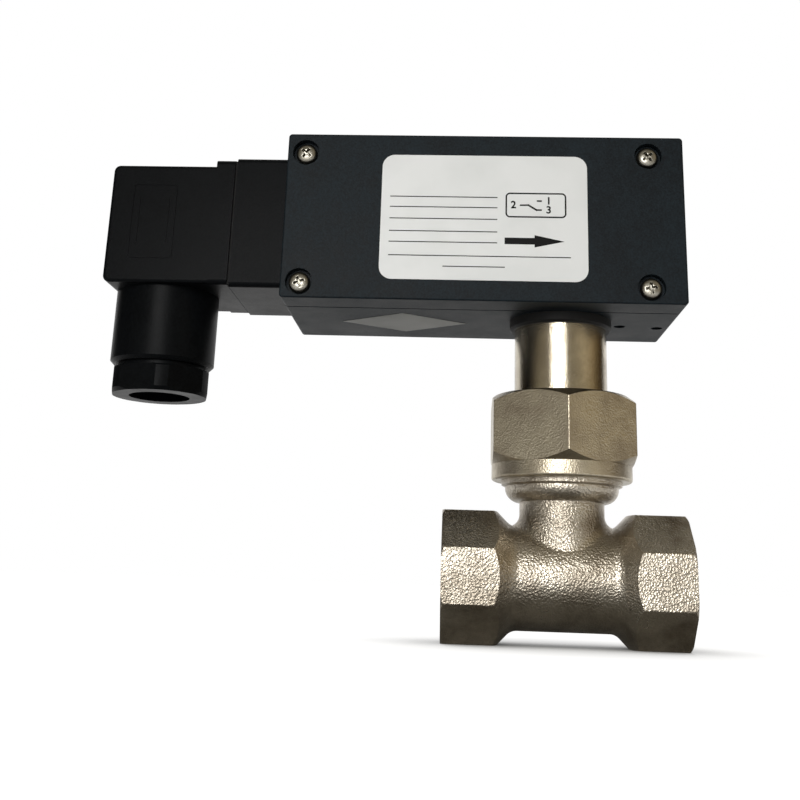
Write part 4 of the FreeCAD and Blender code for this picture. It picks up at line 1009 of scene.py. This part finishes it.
# ---------------------------------------------------------------- studio
@dataclass
class Lamp:
    """A rectangular soft lamp that points at a spot."""

    name: str
    place: tuple[float, float, float]
    aim: tuple[float, float, float]
    width: float
    height: float
    power: float
    colour: str = "#ffffff"

    def build(self) -> None:
        """Adds the lamp."""
        light = bpy.data.lights.new(self.name, "AREA")
        light.shape = "RECTANGLE"
        light.size = self.width
        light.size_y = self.height
        light.energy = self.power
        light.color = linear(self.colour)[:3]
        lamp = bpy.data.objects.new(self.name, light)
        lamp.location = self.place
        lamp.rotation_euler = (Vector(self.aim) - Vector(self.place)).to_track_quat("-Z", "Y").to_euler()
        bpy.context.scene.collection.objects.link(lamp)


@dataclass
class Studio:
    """Pale floor, white surroundings, dim screens round the bench, soft lamps and the camera."""

    focal: float = 47.95
    shift_up: float = -0.15
    eye: tuple[float, float, float] = (2.855 * MM, -240.549 * MM, -1.546 * MM)
    tilt: tuple[float, float, float] = (105.798, -1.886, 2.812)
    floor_radius: float = 4.0
    screen_radius: float = 0.85
    screen_height: float = 1.1
    screen_gap: float = 22 * MM

    def floor(self) -> None:
        """The floor that the tee stands on."""
        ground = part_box("tee_body")[0].z
        floor = fresh(bpy.ops.mesh.primitive_circle_add, "floor", vertices=96, radius=self.floor_radius,
                      fill_type="NGON", location=(0, 0, ground))
        settle(floor)
        # The floor glows white, with painted shade near the part.
        floor.data.materials.append(StudioFloor("pale_paper_painted_shade").build())

    def screens(self) -> None:
        """A dim glowing screen round the front and a glowing ceiling over it, out of every view, whose light
        the metal reflects.
        """
        screen = fresh(bpy.ops.mesh.primitive_cylinder_add, "round_screen", vertices=72,
                       radius=self.screen_radius, depth=self.screen_height, end_fill_type="NOTHING",
                       location=(0, 0, self.screen_height / 2 + self.screen_gap))
        settle(screen)
        bpy.ops.object.mode_set(mode="EDIT")
        pick(screen, "FACE", lambda middle: middle.y > 0.55 * self.screen_radius)
        bpy.ops.mesh.delete(type="FACE")
        bpy.ops.object.mode_set(mode="OBJECT")
        ceiling = fresh(bpy.ops.mesh.primitive_circle_add, "ceiling", vertices=72, radius=self.screen_radius,
                        fill_type="NGON", location=(0, 0, self.screen_height + self.screen_gap))
        settle(ceiling)
        # Both screens light the scene by their own glow.
        glowing_screen_finish = LitScreen("screen_glow").build()
        dim = LitScreen("ceiling_glow", ((0.0, "#7f7a6d"), (1.0, "#7f7a6d"))).build()
        for stage, material in ((screen, glowing_screen_finish), (ceiling, dim)):
            stage.data.materials.append(material)
            stage.visible_camera = False

    def surroundings(self) -> None:
        """White to the camera and in reflections, soft grey as a light."""
        world = bpy.data.worlds.new("surroundings")
        bpy.context.scene.world = world
        world.use_nodes = True
        tree = world.node_tree
        tree.nodes.clear()
        path = add(tree, "ShaderNodeLightPath")
        seen = any_of(tree, [path.outputs[name] for name in SEEN_RAYS])
        light = add(tree, "ShaderNodeBackground", {"Color": linear("#f4f6f8"), "Strength": 0.2})
        white = add(tree, "ShaderNodeBackground", {"Color": linear("#ffffff"), "Strength": 1.0})
        mixed = add(tree, "ShaderNodeMixShader", links={
            0: seen, 1: light.outputs["Background"], 2: white.outputs["Background"],
        })
        add(tree, "ShaderNodeOutputWorld", links={"Surface": mixed.outputs["Shader"]})

    def camera(self) -> None:
        """The camera, level with the pipe and looking up at the box."""
        lens = bpy.data.cameras.new("camera")
        lens.sensor_width = 36.0
        lens.lens = self.focal
        lens.shift_y = self.shift_up
        lens.clip_start = 0.01
        lens.clip_end = 50.0
        camera = bpy.data.objects.new("camera", lens)
        camera.location = self.eye
        camera.rotation_euler = [math.radians(turn) for turn in self.tilt]
        bpy.context.scene.collection.objects.link(camera)
        bpy.context.scene.camera = camera

    def build(self) -> None:
        """Sets up the floor, screens, surroundings, lamps and camera."""
        self.floor()
        self.screens()
        self.surroundings()
        self.camera()
        middle = (0.0, 0.0, 0.04)
        Lamp("key", (-0.087, -0.61, 0.14), middle, 0.27, 0.24, 2.2).build()
        Lamp("overhead", (-0.15, 0.05, 0.75), middle, 0.5, 0.5, 0.5).build()
        bpy.context.scene.view_settings.view_transform = "Standard"


def main() -> None:
    """Builds the studio, the finishes and the new pieces, in order."""
    logging.basicConfig(level=logging.INFO, format="%(name)s %(message)s")
    Studio().build()
    wardrobe = Wardrobe()
    wardrobe.make()
    wardrobe.dress()
    PrintedPlate().build(wardrobe.finishes["label_film"], wardrobe.finishes["label_ink"])
    UndersideMark().build(wardrobe.finishes["mark_foil"])
    CoverScrews().build(wardrobe.finishes["screw_nickel"])
    TeeThreads().build(wardrobe.finishes["forged_nickel"])
    PlugFacing().build(wardrobe.finishes["plug_nylon"])


if __name__ == "__main__":
    main()
